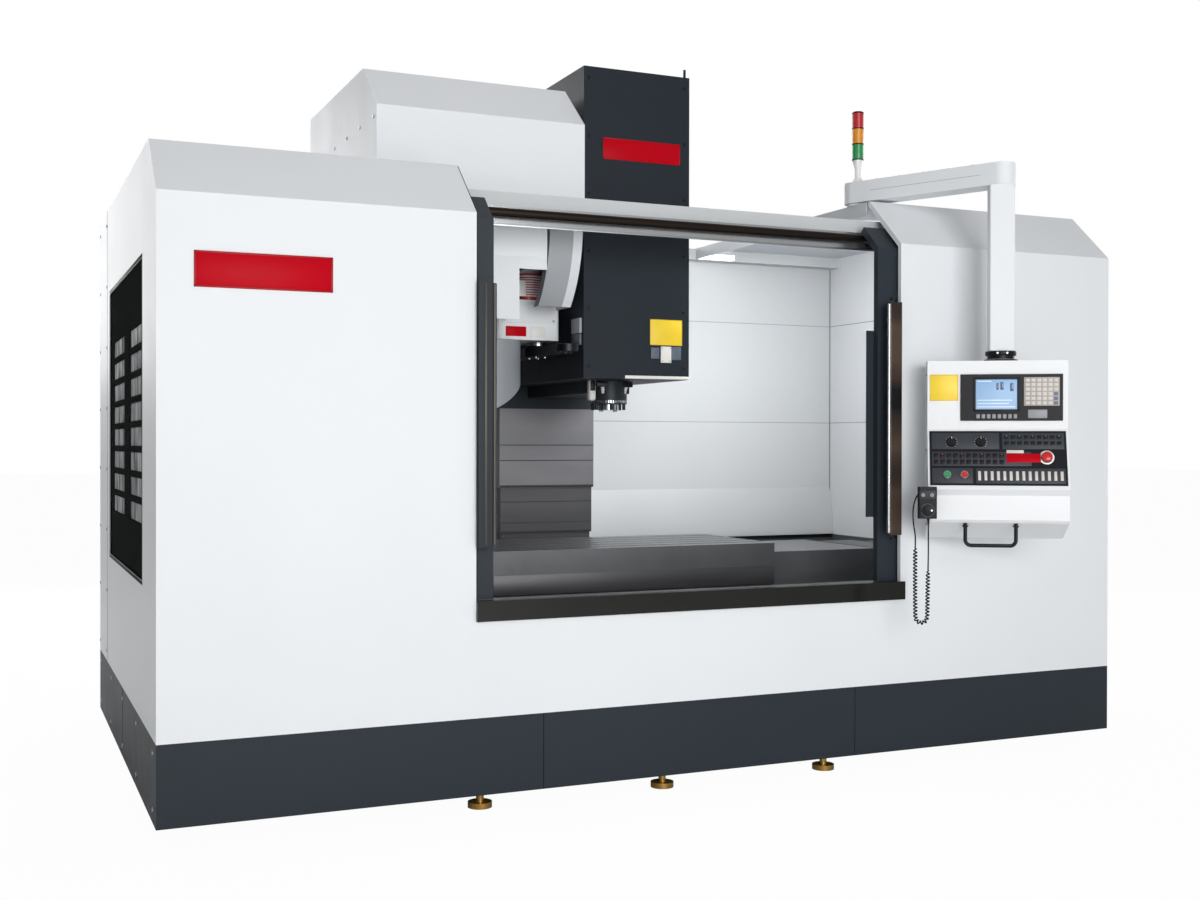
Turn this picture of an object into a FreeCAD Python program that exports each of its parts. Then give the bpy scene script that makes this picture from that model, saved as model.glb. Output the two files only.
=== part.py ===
"""Vertical machining centre with a full enclosure, an arm tool changer and a console on a boom.

Millimetres. The machine is drawn with x across the front, y from the front skin to the back and
z up from the floor. Before writing, everything moves along y so that the origin lies under the
middle of the whole machine's box.
"""
import FreeCAD, Part
import math
import os

V = FreeCAD.Vector

# ---- driving dimensions: enclosure -------------------------------------------------------------
machine_width = 4300.0        # outside of the left side panel to outside of the right one
enclosure_depth = 2450.0      # front skin to rear skin
plinth_bottom = 65.0          # daylight under the plinth
plinth_top = 360.0
crease_height = 2280.0        # where the front skin bends back
roof_height = 2501.0
chamfer_depth = 238.0         # how far the bent part runs back
sheet = 3.0                   # cover sheet
flange = 22.0                 # folded edge of a cover sheet
opening_left = -986.0         # door opening
opening_right = 965.0
sill_bottom = 727.0
sill_top = 805.0
sill_end = 982.0              # the sill runs on past the opening's right edge
back_wall = enclosure_depth - 460     # splash wall behind the table
wall_sheet = 2.0
wall_foot = 870.0             # lower edge of the white rear wall, where the chute starts
wall_front = 100.0            # front edge of the splash space, behind the doors
fit = 0.5                     # running clearance between guided pieces
seat = 0.3                    # clearance of a piece that is only carried

# ---- doors -------------------------------------------------------------------------------------
door_front = 35.0             # outer face of the door leaves, behind the front skin
door_thickness = 30.0
door_lap = 24.5               # leaf wider than half the opening
left_door_edge = -905.0       # meeting edge of the open left leaf
right_door_edge = 868.0       # meeting edge of the open right leaf
door_chamfer_share = 0.5      # how much of the front's slope the leaves follow
stile = 106.0
window_bottom = 1010.0
window_top = 2020.0
pane = 6.0
handle_bottom = 1010.0
handle_length = 1010.0
handle_width = 62.0
handle_thickness = 14.0
handle_stand_off = 51.0
handle_edge = 9.0             # from the meeting edge to the handle's rod
rod_radius = 8.0
rail_radius = 18.0
rail_y = 175.0
rail_z = 2318.0
header_y = 205.0
header_depth = 50.0
header_bottom = 2350.0
header_height = 55.0

# ---- machine inside ----------------------------------------------------------------------------
bed_bottom = 80.0
bed_step = 300.0
bed_top = 540.0
bed_half = machine_width / 2 - 1100
bed_upper_half = 540.0
bed_front = 60.0
bed_back = enclosure_depth - 10
column_back = enclosure_depth + 110
column_front = back_wall - 140        # rail face of the column
neck_half = 303.0
neck_bottom = 700.0
column_half = 520.0
column_top = 2850.0
tunnel_half = 370.0           # opening in the column's foot for the rear way cover
tunnel_top = 690.0
tunnel_back = column_back - 160
spindle_y = 965.0
nose_height = 1562.0          # spindle nose above the floor, as photographed
y_rail_x = 300.0
x_rail_y = 200.0              # each side of the spindle line
z_rail_x = 180.0
rail_width = 35.0
rail_height = 40.0
block_half = 45.0
saddle_depth = 600.0
saddle_bottom = 600.0
saddle_top = 740.0
table_length = 1400.0
table_depth = 700.0
table_bottom = 830.0
table_top = 940.0
slot_count = 5
slot_pitch = 125.0
slot_width = 18.0
slot_depth = 38.0
slot_foot_width = 30.0
slot_foot_height = 13.0
x_travel = 550.0              # table, each way
y_travel = 300.0              # saddle, each way
head_down = 470.0             # head, down from its photographed height
cover_sheet = 3.0
cover_step = 8.0              # from one telescopic plate to the next
cover_lap = 20.0              # of two telescopic plates pulled out
wiper = 12.0                  # length of the lip at a telescopic plate's end

x_cover_length = x_travel + 2.5 * cover_lap
saddle_half = table_length / 2 + x_cover_length - 18
inner_wall = saddle_half + x_cover_length + 33    # half width of the splash space
opening_width = opening_right - opening_left
door_width = opening_width / 2 + door_lap
carriage_bottom = nose_height + 23

# ---- tool changer ------------------------------------------------------------------------------
arm_reach = 361.0             # arm axis to spindle axis, and to the ready tool
arm_top = nose_height + 283.0
arm_thickness = 45.0
arm_travel = 130.0
magazine_height = 2341.0
magazine_radius = 493.0
drum_left = -495.0
drum_right = -344.0
pot_circle = 400.0
pot_count = 24
pot_radius = 42.0
pot_length = 140.0
disc_x = -660.0
disc_thickness = 15.0

# ---- console -----------------------------------------------------------------------------------
pivot_x = 1005.0              # boom pivot on the roof
pivot_y = 388.0
tube_x = 1299.0               # drop tube
tube_y = -253.0
boom_bottom = 2512.0
boom_height = 96.0
boom_width = 120.0
drop_tube = 105.0
console_turn = -34.0          # degrees about z, 0 faces the front
console_top = 1757.0
console_left = -313.0
console_right = 261.0
console_face = -114.0
console_back = 56.0
slope_top = 1470.0            # the keyboard slopes out from here
slope_bottom = 1215.0
slope_out = 80.0
lip_bottom = 1075.0
console_foot = 1000.0
swivel_height = 49.0

parts = {}


def box(x0, x1, y0, y1, z0, z1):
    """Block between two corners."""
    return Part.makeBox(x1 - x0, y1 - y0, z1 - z0, V(x0, y0, z0))


def rod(radius, length, start, axis):
    """Round bar from start along axis."""
    return Part.makeCylinder(radius, length, V(*start), V(*axis))


def prism_x(points, x0, x1):
    """Outline of (y, z) points drawn out from x0 to x1."""
    wire = Part.makePolygon([V(x0, y, z) for y, z in points + points[:1]])
    return Part.Face(wire).extrude(V(x1 - x0, 0, 0))


def prism_z(points, z0, z1):
    """Outline of (x, y) points drawn out from z0 to z1."""
    wire = Part.makePolygon([V(x, y, z0) for x, y in points + points[:1]])
    return Part.Face(wire).extrude(V(0, 0, z1 - z0))


def joined(first, *others):
    """One solid of pieces that are welded, cast or fixed as one."""
    for other in others:
        first = first.fuse(other)
    return first.removeSplitter()


def group(*solids):
    """Separate solids that share a node."""
    return Part.makeCompound(list(solids))


# ---- the front's folded outline ----------------------------------------------------------------
half_width = machine_width / 2
chamfer_rise = roof_height - crease_height
fold = math.atan2(chamfer_depth, chamfer_rise)
slope_length = math.hypot(chamfer_depth, chamfer_rise)
along = (chamfer_depth / slope_length, chamfer_rise / slope_length)
inward = (along[1], -along[0])


def front_line(depth, foot, share=1.0):
    """Points of the folded front at a depth behind the outer skin, from foot up the slope."""
    bend = (depth, crease_height - depth * math.tan(fold / 2))
    end_y = chamfer_depth * share + inward[0] * depth
    end_z = crease_height + chamfer_rise * share + inward[1] * depth
    if share == 1.0:
        end_y = chamfer_depth + depth * math.tan((math.pi / 2 - fold) / 2)
        end_z = roof_height - depth
    return [(depth, foot), bend, (end_y, end_z)]


def front_strip(outer, inner, foot, x0, x1, share=1.0):
    """Folded sheet between two depths."""
    outline = front_line(outer, foot, share) + front_line(inner, foot, share)[::-1]
    return prism_x(outline, x0, x1)


# ---- panels ------------------------------------------------------------------------------------
def front_panel(x0, x1, opening_side):
    """Folded front sheet with a return along the door opening and along its foot."""
    skin = front_strip(0, sheet, plinth_top, x0, x1)
    if opening_side > 0:
        lip = front_strip(0, flange, plinth_top, x1 - sheet, x1)
    else:
        lip = front_strip(0, flange, plinth_top, x0, x0 + sheet)
    foot = box(x0, x1, 0, flange, plinth_top, plinth_top + sheet)
    return joined(skin, lip, foot)


def make_front():
    edge = half_width - sheet
    left = front_panel(-edge, opening_left, 1)
    right = front_panel(opening_right, edge, -1)
    parts["front_panels"] = group(left, right.cut(sill_block()))
    skin = box(opening_left, opening_right, 0, sheet, plinth_top, sill_bottom)
    foot = box(opening_left, opening_right, 0, flange, plinth_top, plinth_top + sheet)
    top = box(opening_left, opening_right, 0, door_front, sill_bottom - sheet, sill_bottom)
    parts["front_apron"] = joined(skin, foot, top)


window_front = 461.0          # side window, from the front skin
window_back = back_wall - 114
side_window_bottom = 885.0
side_window_top = 2100.0


def side_sheet(x0, x1):
    """Side cover with the front's outline along its front edge."""
    line = front_line(0, plinth_top)
    outline = line + [(enclosure_depth, roof_height), (enclosure_depth, plinth_top)]
    return prism_x(outline, x0, x1)


def make_sides():
    inner = half_width - sheet
    left = side_sheet(-half_width, -inner)
    lip = front_strip(sheet + fit, sheet + fit + sheet, plinth_top + sheet, -inner, -inner + flange)
    hole = box(-half_width - 1, -inner + 1, window_front, window_back, side_window_bottom,
               side_window_top)
    left = joined(left, lip).cut(hole)
    right = side_sheet(inner, half_width)
    lip = front_strip(sheet + fit, sheet + fit + sheet, plinth_top + sheet, inner - flange, inner)
    parts["side_panels"] = group(left, joined(right, lip))


guard_rows = 8
guard_bottom = 1175.0
guard_pitch = 107.0
guard_bar = 26.0
guard_columns = ((500.0, 975.0), (1065.0, 1760.0))
guard_depth = 12.0


def make_side_window():
    outer = -half_width + sheet
    parts["side_window"] = box(outer - sheet / 2, outer + pane - sheet / 2, window_front, window_back,
                               side_window_bottom, side_window_top)
    x0 = outer + pane - sheet / 2
    guard = box(x0, x0 + guard_depth, window_front - 30, window_back + 30, side_window_bottom - 30,
                side_window_top + 30)
    for y0, y1 in guard_columns:
        for row in range(guard_rows):
            z0 = guard_bottom + row * guard_pitch
            cell = box(x0 - 1, x0 + guard_depth + 1, y0, y1, z0, z0 + guard_pitch - guard_bar)
            guard = guard.cut(cell)
    recess = box(x0 - pane, outer, window_front - 31, window_back + 31, side_window_bottom - 31,
                 side_window_top + 31)
    surround = box(outer, x0, window_front - 30, window_back + 30, side_window_bottom - 30,
                   side_window_top + 30)
    surround = surround.cut(box(outer - 1, x0 + 1, window_front, window_back, side_window_bottom,
                                side_window_top))
    parts["window_guard"] = joined(guard, surround).cut(recess)


def roof_half(x0, x1, opening_side):
    """Roof sheet with a return down along the open middle."""
    start = chamfer_depth + sheet
    skin = box(x0, x1, start, enclosure_depth - sheet, roof_height - sheet, roof_height)
    if opening_side > 0:
        lip = box(x1 - sheet, x1, start + flange, back_wall - 91, roof_height - 60, roof_height)
    else:
        lip = box(x0, x0 + sheet, start + flange, back_wall - 91, roof_height - 60, roof_height)
    return joined(skin, lip)


def make_roof():
    edge = half_width - sheet
    post = rod(48, boom_bottom - roof_height - fit, (pivot_x, pivot_y, roof_height), (0, 0, 1))
    right = joined(roof_half(opening_right, edge, -1), post)
    parts["roof_panels"] = group(roof_half(-edge, opening_left, 1), right)


tank_right = -bed_half - 40
tank_width = 810.0
tank_left = tank_right - tank_width
tank_front = 400.0
tank_back = enclosure_depth + 400
tank_bottom = 60.0
tank_top = 330.0
castor_radius = 27.0
pump_radius = 62.0
pump_height = 260.0


def make_rear():
    y0 = enclosure_depth - sheet
    edge = half_width - sheet
    gap_x = column_half + seat
    left = box(-edge, -gap_x, y0, enclosure_depth, plinth_top, roof_height - sheet)
    right = box(gap_x, edge, y0, enclosure_depth, plinth_top, roof_height - sheet)
    parts["rear_panels"] = group(left, right)


def make_plinth():
    inner = half_width - sheet
    front = box(-inner, inner, 0, sheet, plinth_bottom, plinth_top)
    left = box(-half_width, -inner, 0, enclosure_depth, plinth_bottom, plinth_top)
    right = box(inner, half_width, 0, enclosure_depth, plinth_bottom, plinth_top)
    y0 = enclosure_depth - sheet
    gap_x = column_half + seat
    rear_right = box(gap_x, inner, y0, enclosure_depth, plinth_bottom, plinth_top)
    rear_left = box(tank_right + 20, -gap_x, y0, enclosure_depth, plinth_bottom, plinth_top)
    rear_end = box(-inner, tank_left - 20, y0, enclosure_depth, plinth_bottom, plinth_top)
    parts["plinth"] = group(front, left, right, rear_right, rear_left, rear_end)


def make_inner_walls():
    w = inner_wall
    t = wall_sheet
    pan = bed_top
    under_slope = front_line(sheet + seat, pan - sheet)[1:]
    (bend_y, bend_z), (top_y, top_z) = under_slope
    start_z = bend_z + (wall_front - bend_y) * chamfer_rise / chamfer_depth
    outline = [(wall_front, pan - sheet), (wall_front, start_z), (top_y, top_z),
               (back_wall + t, top_z), (back_wall + t, pan - sheet)]
    left = prism_x(outline, -w - t, -w)
    hole = box(-w - t - 1, -w + 1, window_front, window_back, side_window_bottom, side_window_top)
    left = left.cut(hole)
    right = prism_x(outline, w, w + t)
    rear_left = box(-w, -neck_half - seat, back_wall, back_wall + t, wall_foot, roof_height - sheet)
    rear_right = box(neck_half + seat, w, back_wall, back_wall + t, wall_foot, roof_height - sheet)
    front_left = box(-w - t, opening_left - 14, wall_front - t, wall_front, sill_bottom,
                     crease_height - 30)
    front_right = box(opening_right + 14, w + t, wall_front - t, wall_front, sill_bottom,
                      crease_height - 30)
    beam_left = box(-w, -neck_half - seat, back_wall - 90, back_wall, roof_height - 61,
                    roof_height - sheet)
    beam_right = box(neck_half + seat, w, back_wall - 90, back_wall, roof_height - 61,
                     roof_height - sheet)
    header = box(-w, w, header_y, header_y + header_depth, header_bottom,
                 header_bottom + header_height)
    parts["inner_walls"] = group(joined(left, front_left, rear_left, beam_left),
                                 joined(right, front_right, rear_right, beam_right), header)


chute_low = 615.0
front_chute_back = 290.0
rear_chute_front = back_wall - 325


def make_chip_pan():
    w = inner_wall
    t = sheet
    floor_left = box(-w, -bed_upper_half, door_front, back_wall, bed_top - t, bed_top)
    floor_right = box(bed_upper_half, w, door_front, back_wall, bed_top - t, bed_top)
    front = prism_x([(96, sill_bottom), (front_chute_back, chute_low),
                     (front_chute_back, chute_low - t), (96, sill_bottom - t)], -w, w)
    front_face = box(-w, w, 96 - t, 96, bed_top - t, sill_bottom)
    way = box(-y_cover_half - 6, y_cover_half + 6, 90, 100, bed_top - t - 1, y_cover_top + 4)
    rear = prism_x([(back_wall, wall_foot), (rear_chute_front, chute_low),
                    (rear_chute_front, chute_low - t), (back_wall, wall_foot - t)], -w, w)
    neck = box(-neck_half - seat, neck_half + seat, column_front - seat, back_wall + 1, neck_bottom - seat,
               column_top)
    web_left = box(-w, -w + t, rear_chute_front, back_wall, bed_top - t, chute_low)
    web_right = box(w - t, w, rear_chute_front, back_wall, bed_top - t, chute_low)
    column_way = box(-z_cover_half - 4, z_cover_half + 4, z_cover_front - 5, back_wall,
                     bed_top, column_top)
    pan = joined(floor_left, floor_right, front, front_face.cut(way), rear.cut(neck).cut(column_way),
                 web_left, web_right)
    x0, x1 = tank_right - 310, tank_right - 150
    y0, y1 = spindle_y + 335, spindle_y + 495
    drain = box(x0, x1, y0, y1, tank_top + seat, bed_top - t)
    pan = joined(pan, drain).cut(box(x0 + t, x1 - t, y0 + t, y1 - t, tank_top, bed_top + 1))
    parts["chip_pan"] = pan


def sill_block():
    return box(opening_left, sill_end, -14, wall_front - 7, sill_bottom, sill_top)


def make_sill():
    sill = sill_block()
    groove = box(opening_left + 3, sill_end - 4, 44, 56, sill_top - 12, sill_top + 1)
    parts["sill_rail"] = sill.cut(groove)


def make_door_rail():
    w = inner_wall
    bar = rod(rail_radius, 2 * w - 6, (-w + 3, rail_y, rail_z), (1, 0, 0))
    web = box(-w + 3, w - 3, rail_y + 10, header_y, rail_z - 5, rail_z + 5)
    channel = box(-w, w, header_y, header_y + 7, rail_z - 48, header_bottom)
    parts["door_rail"] = joined(bar, web, channel)


# ---- doors -------------------------------------------------------------------------------------
def make_door(side, edge):
    """Leaf, pane and handle. side is -1 for the left leaf and 1 for the right one."""
    far = edge + side * door_width
    x0, x1 = min(edge, far), max(edge, far)
    foot = sill_top + fit
    back = door_front + door_thickness
    leaf = front_strip(door_front, back, foot, x0, x1, door_chamfer_share)
    wx0, wx1 = x0 + stile, x1 - stile
    opening = box(wx0, wx1, door_front - 1, back + 1, window_bottom, window_top)
    leaf = leaf.cut(opening)
    shoe_x = edge + side * 10
    shoe = box(min(shoe_x, shoe_x + side * 60), max(shoe_x, shoe_x + side * 60), 46, 54,
               sill_top - 10, foot)
    leaf = joined(leaf, shoe)
    for place in (60, door_width - 140):
        hx = edge + side * (place + 40)
        hanger = box(hx - 40, hx + 40, 128, rail_y + rail_radius + 3, rail_z - 28, rail_z + 27)
        bore = rod(rail_radius + fit, 90, (hx - 45, rail_y, rail_z), (1, 0, 0))
        mouth = box(hx - 45, hx + 45, rail_y, header_y, rail_z - 5 - 2 * fit, rail_z + 5 + 2 * fit)
        leaf = joined(leaf, hanger.cut(bore).cut(mouth))
    name = "left" if side < 0 else "right"
    if side > 0:
        strip = box(edge - 36, edge + 14, back, back + 6, window_bottom + 75, window_top - 120)
        notch = box(edge - 37, edge, back - 2, back + 3 * fit, window_bottom, window_top)
        leaf = joined(leaf, strip).cut(notch)
    parts[name + "_door"] = leaf
    mid = door_front + door_thickness / 2
    parts[name + "_door_window"] = box(wx0, wx1, mid - pane / 2, mid + pane / 2, window_bottom,
                                       window_top)
    rod_x = edge + side * (handle_edge + rod_radius)
    bar_near = rod_x + side * rod_radius * 0.6
    bar_far = bar_near + side * handle_width
    front = door_front - handle_stand_off - handle_thickness
    bar = box(min(bar_near, bar_far), max(bar_near, bar_far), front, front + handle_thickness,
              handle_bottom, handle_bottom + handle_length)
    bar = bar.makeFillet(handle_thickness / 2 - 1, [e for e in bar.Edges if is_upright(e)])
    grip = rod(rod_radius, handle_length - 24, (rod_x, front + handle_thickness / 2,
                                                handle_bottom + 12), (0, 0, 1))
    handle = joined(bar, grip)
    post_x = (bar_near + bar_far) / 2
    for share in (0.1, 0.5, 0.9):
        post = rod(9, handle_stand_off + 2, (post_x, front + handle_thickness - 2,
                                             handle_bottom + share * handle_length), (0, 1, 0))
        handle = joined(handle, post)
    parts[name + "_door_handle"] = handle


def is_upright(edge):
    """True for an edge along z."""
    a, b = edge.Vertexes[0].Point, edge.Vertexes[-1].Point
    return abs(a.x - b.x) < 1e-6 and abs(a.y - b.y) < 1e-6


# ---- castings and guides -----------------------------------------------------------------------
screw_radius = 20.0
screw_z = 500.0
z_screw_y = column_front + 45
x_screw_z = 790.0
pad_radius = 47.0
pad_height = 22.0
pad_edge = 109.0              # from the bed's side to a pad's middle
front_pads = (-bed_half + pad_edge, -154.0, 624.0)
other_pads = (-bed_half + pad_edge, 0.0, bed_half - pad_edge)
pad_rows = (85.0, 1240.0, bed_back - 60)


def make_pads():
    pads = []
    for y in pad_rows:
        for x in (front_pads if y == pad_rows[0] else other_pads):
            pad = Part.makeCylinder(pad_radius, pad_height, V(x, y, 0))
            stem = Part.makeCylinder(15, bed_bottom - pad_height, V(x, y, pad_height))
            nut = Part.makeCylinder(24, 14, V(x, y, bed_bottom - 14))
            pads.append(joined(pad, stem, nut))
    parts["levelling_pads"] = group(*pads)


def make_bed():
    lower = box(-bed_half, bed_half, bed_front - 20, bed_back, bed_bottom, bed_step)
    foot = box(-column_half, column_half, bed_back, column_back, bed_bottom, bed_step)
    upper = box(-bed_upper_half, bed_upper_half, 96, bed_back, bed_step, bed_top)
    rear = box(-column_half, column_half, bed_back, column_back, bed_step, bed_top)
    channel = box(-95, 95, 60, back_wall, screw_z - 80, bed_top + 1)
    bed = joined(lower, foot, upper, rear).cut(channel)
    for x in (-y_rail_x, y_rail_x):
        rail = box(x - rail_width / 2, x + rail_width / 2, 110, column_front + 20, bed_top,
                          bed_top + rail_height)
        bed = joined(bed, rail)
    parts["bed"] = bed


def make_column():
    neck = box(-neck_half, neck_half, column_front, back_wall + 10, neck_bottom, column_top)
    groove = box(-70, 70, column_front - 1, column_front + 100, neck_bottom - 1, column_top + 1)
    body = prism_x([(back_wall + wall_sheet + seat, bed_top), (back_wall + wall_sheet + seat, column_top),
                    (bed_back - 140, column_top), (column_back, 2200), (column_back, bed_top)],
                   -column_half, column_half)
    tunnel = box(-tunnel_half, tunnel_half, back_wall - 1, tunnel_back, bed_top - 1, tunnel_top)
    column = joined(neck.cut(groove), body).cut(tunnel)
    bearing = box(-70, 70, column_front + 10, column_front + 100, neck_bottom, neck_bottom + 50)
    column = joined(column, bearing)
    for x in (-z_rail_x, z_rail_x):
        rail = box(x - rail_width / 2, x + rail_width / 2, column_front - rail_height,
                          column_front, 760, column_top - 20)
        column = joined(column, rail)
    hole = rod(screw_radius, column_top, (0, z_screw_y, neck_bottom + 20), (0, 0, 1))
    parts["column"] = column.cut(hole)


def make_feed_drives():
    start = bed_front + 170
    end = column_front - 70
    y_screw = rod(screw_radius, end - start, (0, start, screw_z), (0, 1, 0))
    y_motor = box(-65, 65, start - 120, start, screw_z - 60, bed_top + rail_height)
    y_foot = box(-80, 80, start - 50, start, screw_z - 80, screw_z)
    y_end = box(-80, 80, end, end + 50, screw_z - 80, bed_top)
    y_drive = joined(y_screw, y_motor, y_foot, y_end)
    z_screw = rod(screw_radius, column_top - neck_bottom - 20, (0, z_screw_y, neck_bottom + 20),
                  (0, 0, 1))
    plate = box(-110, 110, z_screw_y - 35, z_screw_y + 110, column_top, column_top + 40)
    z_motor = box(-75, 75, z_screw_y - 35, z_screw_y + 110, column_top + 40, column_top + 300)
    z_drive = joined(z_screw, plate, z_motor)
    parts["feed_drives"] = group(y_drive, z_drive)


def make_saddle():
    y0 = spindle_y - saddle_depth / 2
    y1 = spindle_y + saddle_depth / 2
    saddle = box(-saddle_half, saddle_half, y0, y1, saddle_bottom, saddle_top)
    for dy in (-x_rail_y, x_rail_y):
        rail = box(-saddle_half, saddle_half, spindle_y + dy - rail_width / 2,
                          spindle_y + dy + rail_width / 2, saddle_top, saddle_top + rail_height)
        saddle = joined(saddle, rail)
    for x in (-y_rail_x, y_rail_x):
        for y in (y0 + 80, y1 - 80):
            block = box(x - block_half, x + block_half, y - 60, y + 60, bed_top + 8, saddle_bottom)
            slot = box(x - rail_width / 2 - fit, x + rail_width / 2 + fit, y - 61, y + 61, bed_top,
                       bed_top + rail_height + fit)
            saddle = joined(saddle, block.cut(slot))
    nut = box(-50, 50, spindle_y - 60, spindle_y + 60, screw_z - 45, saddle_bottom)
    bore = rod(screw_radius + fit, 200, (0, spindle_y - 100, screw_z), (0, 1, 0))
    saddle = joined(saddle, nut.cut(bore))
    for x0 in (-saddle_half, saddle_half - 50):
        bearing = box(x0, x0 + 50, spindle_y - 60, spindle_y + 60, saddle_top, x_screw_z + 40)
        saddle = joined(saddle, bearing)
    screw = rod(18, 2 * saddle_half - 40, (-saddle_half + 20, spindle_y, x_screw_z), (1, 0, 0))
    motor = box(saddle_half, saddle_half + 170, spindle_y - 55, spindle_y + 55, x_screw_z - 50,
                x_screw_z + 60)
    parts["saddle"] = joined(saddle, screw, motor, *saddle_covers())


x_cover_top = 896.0
x_cover_half = 325.0
x_cover_foot = 700.0
y_cover_start = 75.0
y_cover_top = 601.0
y_cover_half = 360.0
z_cover_front = column_front - 115
z_cover_half = 264.0
z_cover_foot = 702.0
rear_cover_length = tunnel_back - spindle_y - saddle_depth / 2 - y_travel - 100
y_cover_length = (spindle_y - saddle_depth / 2 + y_travel - y_cover_start + 2 * cover_lap) / 3
z_cover_plate = carriage_bottom - head_down - z_cover_foot - 3


def hood_x(x0, x1, level, lip=0):
    """Telescopic plate over the X rails; level 0 is the outermost. lip is its wiper's side."""
    top = x_cover_top - level * cover_step
    half = x_cover_half - level * cover_step
    outer = box(x0, x1, spindle_y - half, spindle_y + half, x_cover_foot, top)
    inner = box(x0 - 1, x1 + 1, spindle_y - half + cover_sheet, spindle_y + half - cover_sheet,
                x_cover_foot - 1, top - cover_sheet)
    hood = outer.cut(inner)
    if lip:
        thick = cover_step - seat
        edge = x1 - wiper if lip > 0 else x0
        band = box(edge, edge + wiper, spindle_y - half, spindle_y + half, x_cover_foot, top)
        band = band.cut(box(edge - 1, edge + wiper + 1, spindle_y - half + thick,
                            spindle_y + half - thick, x_cover_foot - 1, top - thick))
        hood = joined(hood, band)
    return hood


def hood_y(y0, y1, level, lip=False):
    """Telescopic plate over the Y rails; level 0 is the uppermost. lip puts a wiper at its front."""
    top = y_cover_top - level * cover_step
    half = y_cover_half - level * cover_step
    outer = box(-half, half, y0, y1, bed_top + 6, top)
    inner = box(-half + cover_sheet, half - cover_sheet, y0 - 1, y1 + 1, bed_top + 5,
                top - cover_sheet)
    hood = outer.cut(inner)
    if lip:
        thick = cover_step - seat
        band = box(-half, half, y0, y0 + wiper, bed_top + 6, top)
        band = band.cut(box(-half + thick, half - thick, y0 - 1, y0 + wiper + 1, bed_top + 5,
                            top - thick))
        hood = joined(hood, band)
    return hood


def hood_z(z0, z1, level, lip=False):
    """Telescopic plate in front of the Z rails; level 0 is the outermost. lip puts a wiper below."""
    front = z_cover_front + level * cover_step
    half = z_cover_half - level * cover_step
    back = column_front - rail_height - 8
    outer = box(-half, half, front, back, z0, z1)
    inner = box(-half + cover_sheet, half - cover_sheet, front + cover_sheet, column_front, z0 - 1,
                z1 + 1)
    hood = outer.cut(inner)
    if lip:
        thick = cover_step - seat
        band = box(-half, half, front, back, z0, z0 + wiper)
        band = band.cut(box(-half + thick, half - thick, front + thick, column_front, z0 - 1,
                            z0 + wiper + 1))
        hood = joined(hood, band)
    return hood


def saddle_covers():
    """Fixed plates of the X covers with their end plates, and the two Y plates on the saddle."""
    level = 2
    top = x_cover_top - level * cover_step
    half = x_cover_half - level * cover_step
    pieces = []
    for side in (-1, 1):
        near = side * (saddle_half - 2)
        far = side * (saddle_half - 2 + x_cover_length)
        pieces.append(hood_x(min(near, far), max(near, far), level))
        pieces.append(box(min(far - side * 6, far), max(far - side * 6, far), spindle_y - half,
                          spindle_y + half, saddle_bottom, top))
        end = side * saddle_half
        pieces.append(box(min(end, end - side * 8), max(end, end - side * 8), spindle_y - half,
                          spindle_y + half, saddle_bottom, saddle_top + 20))
    y0 = spindle_y - saddle_depth / 2
    y1 = spindle_y + saddle_depth / 2
    front = hood_y(y0 - y_cover_length, y0 + 18, 0, True)
    rear = hood_y(y1, y1 + rear_cover_length, 0)
    hang = box(-y_cover_half, y_cover_half, y0 + 12, y0 + 18, bed_top + 50, saddle_bottom)
    hang_rear = box(-y_cover_half, y_cover_half, y1 - 6, y1, bed_top + 50, saddle_bottom)
    pieces += [front, rear, hang, hang_rear]
    return pieces


def make_cover_slides():
    """Middle plates, which move half as far as what they follow."""
    reach = (x_cover_length - cover_lap) / 2
    for side, name in ((-1, "left"), (1, "right")):
        near = side * (table_length / 2 + reach)
        far = near + side * x_cover_length
        parts[name + "_cover_slide"] = hood_x(min(near, far), max(near, far), 1, side)
    saddle_front = spindle_y - saddle_depth / 2
    y0 = (y_cover_start + saddle_front - y_cover_length) / 2
    parts["front_cover_slide"] = hood_y(y0, y0 + y_cover_length, 1, True)
    head_plate = carriage_bottom - z_cover_plate
    z0 = (z_cover_foot + head_plate) / 2
    parts["column_cover_slide"] = hood_z(z0, z0 + z_cover_plate, 1, True)


def make_fixed_covers():
    front = hood_y(y_cover_start, y_cover_start + y_cover_length, 2)
    half = y_cover_half - 2 * cover_step
    for x in (-half, half - cover_sheet):
        front = joined(front, box(x, x + cover_sheet, 96, y_cover_start + y_cover_length, bed_top,
                                  bed_top + 7))
    column_plate = hood_z(z_cover_foot, z_cover_foot + z_cover_plate, 2)
    foot = box(-z_cover_half + 20, z_cover_half - 20, z_cover_front + 2 * cover_step, column_front,
               z_cover_foot, z_cover_foot + 6)
    parts["fixed_way_covers"] = group(front, joined(column_plate, foot))


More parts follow.
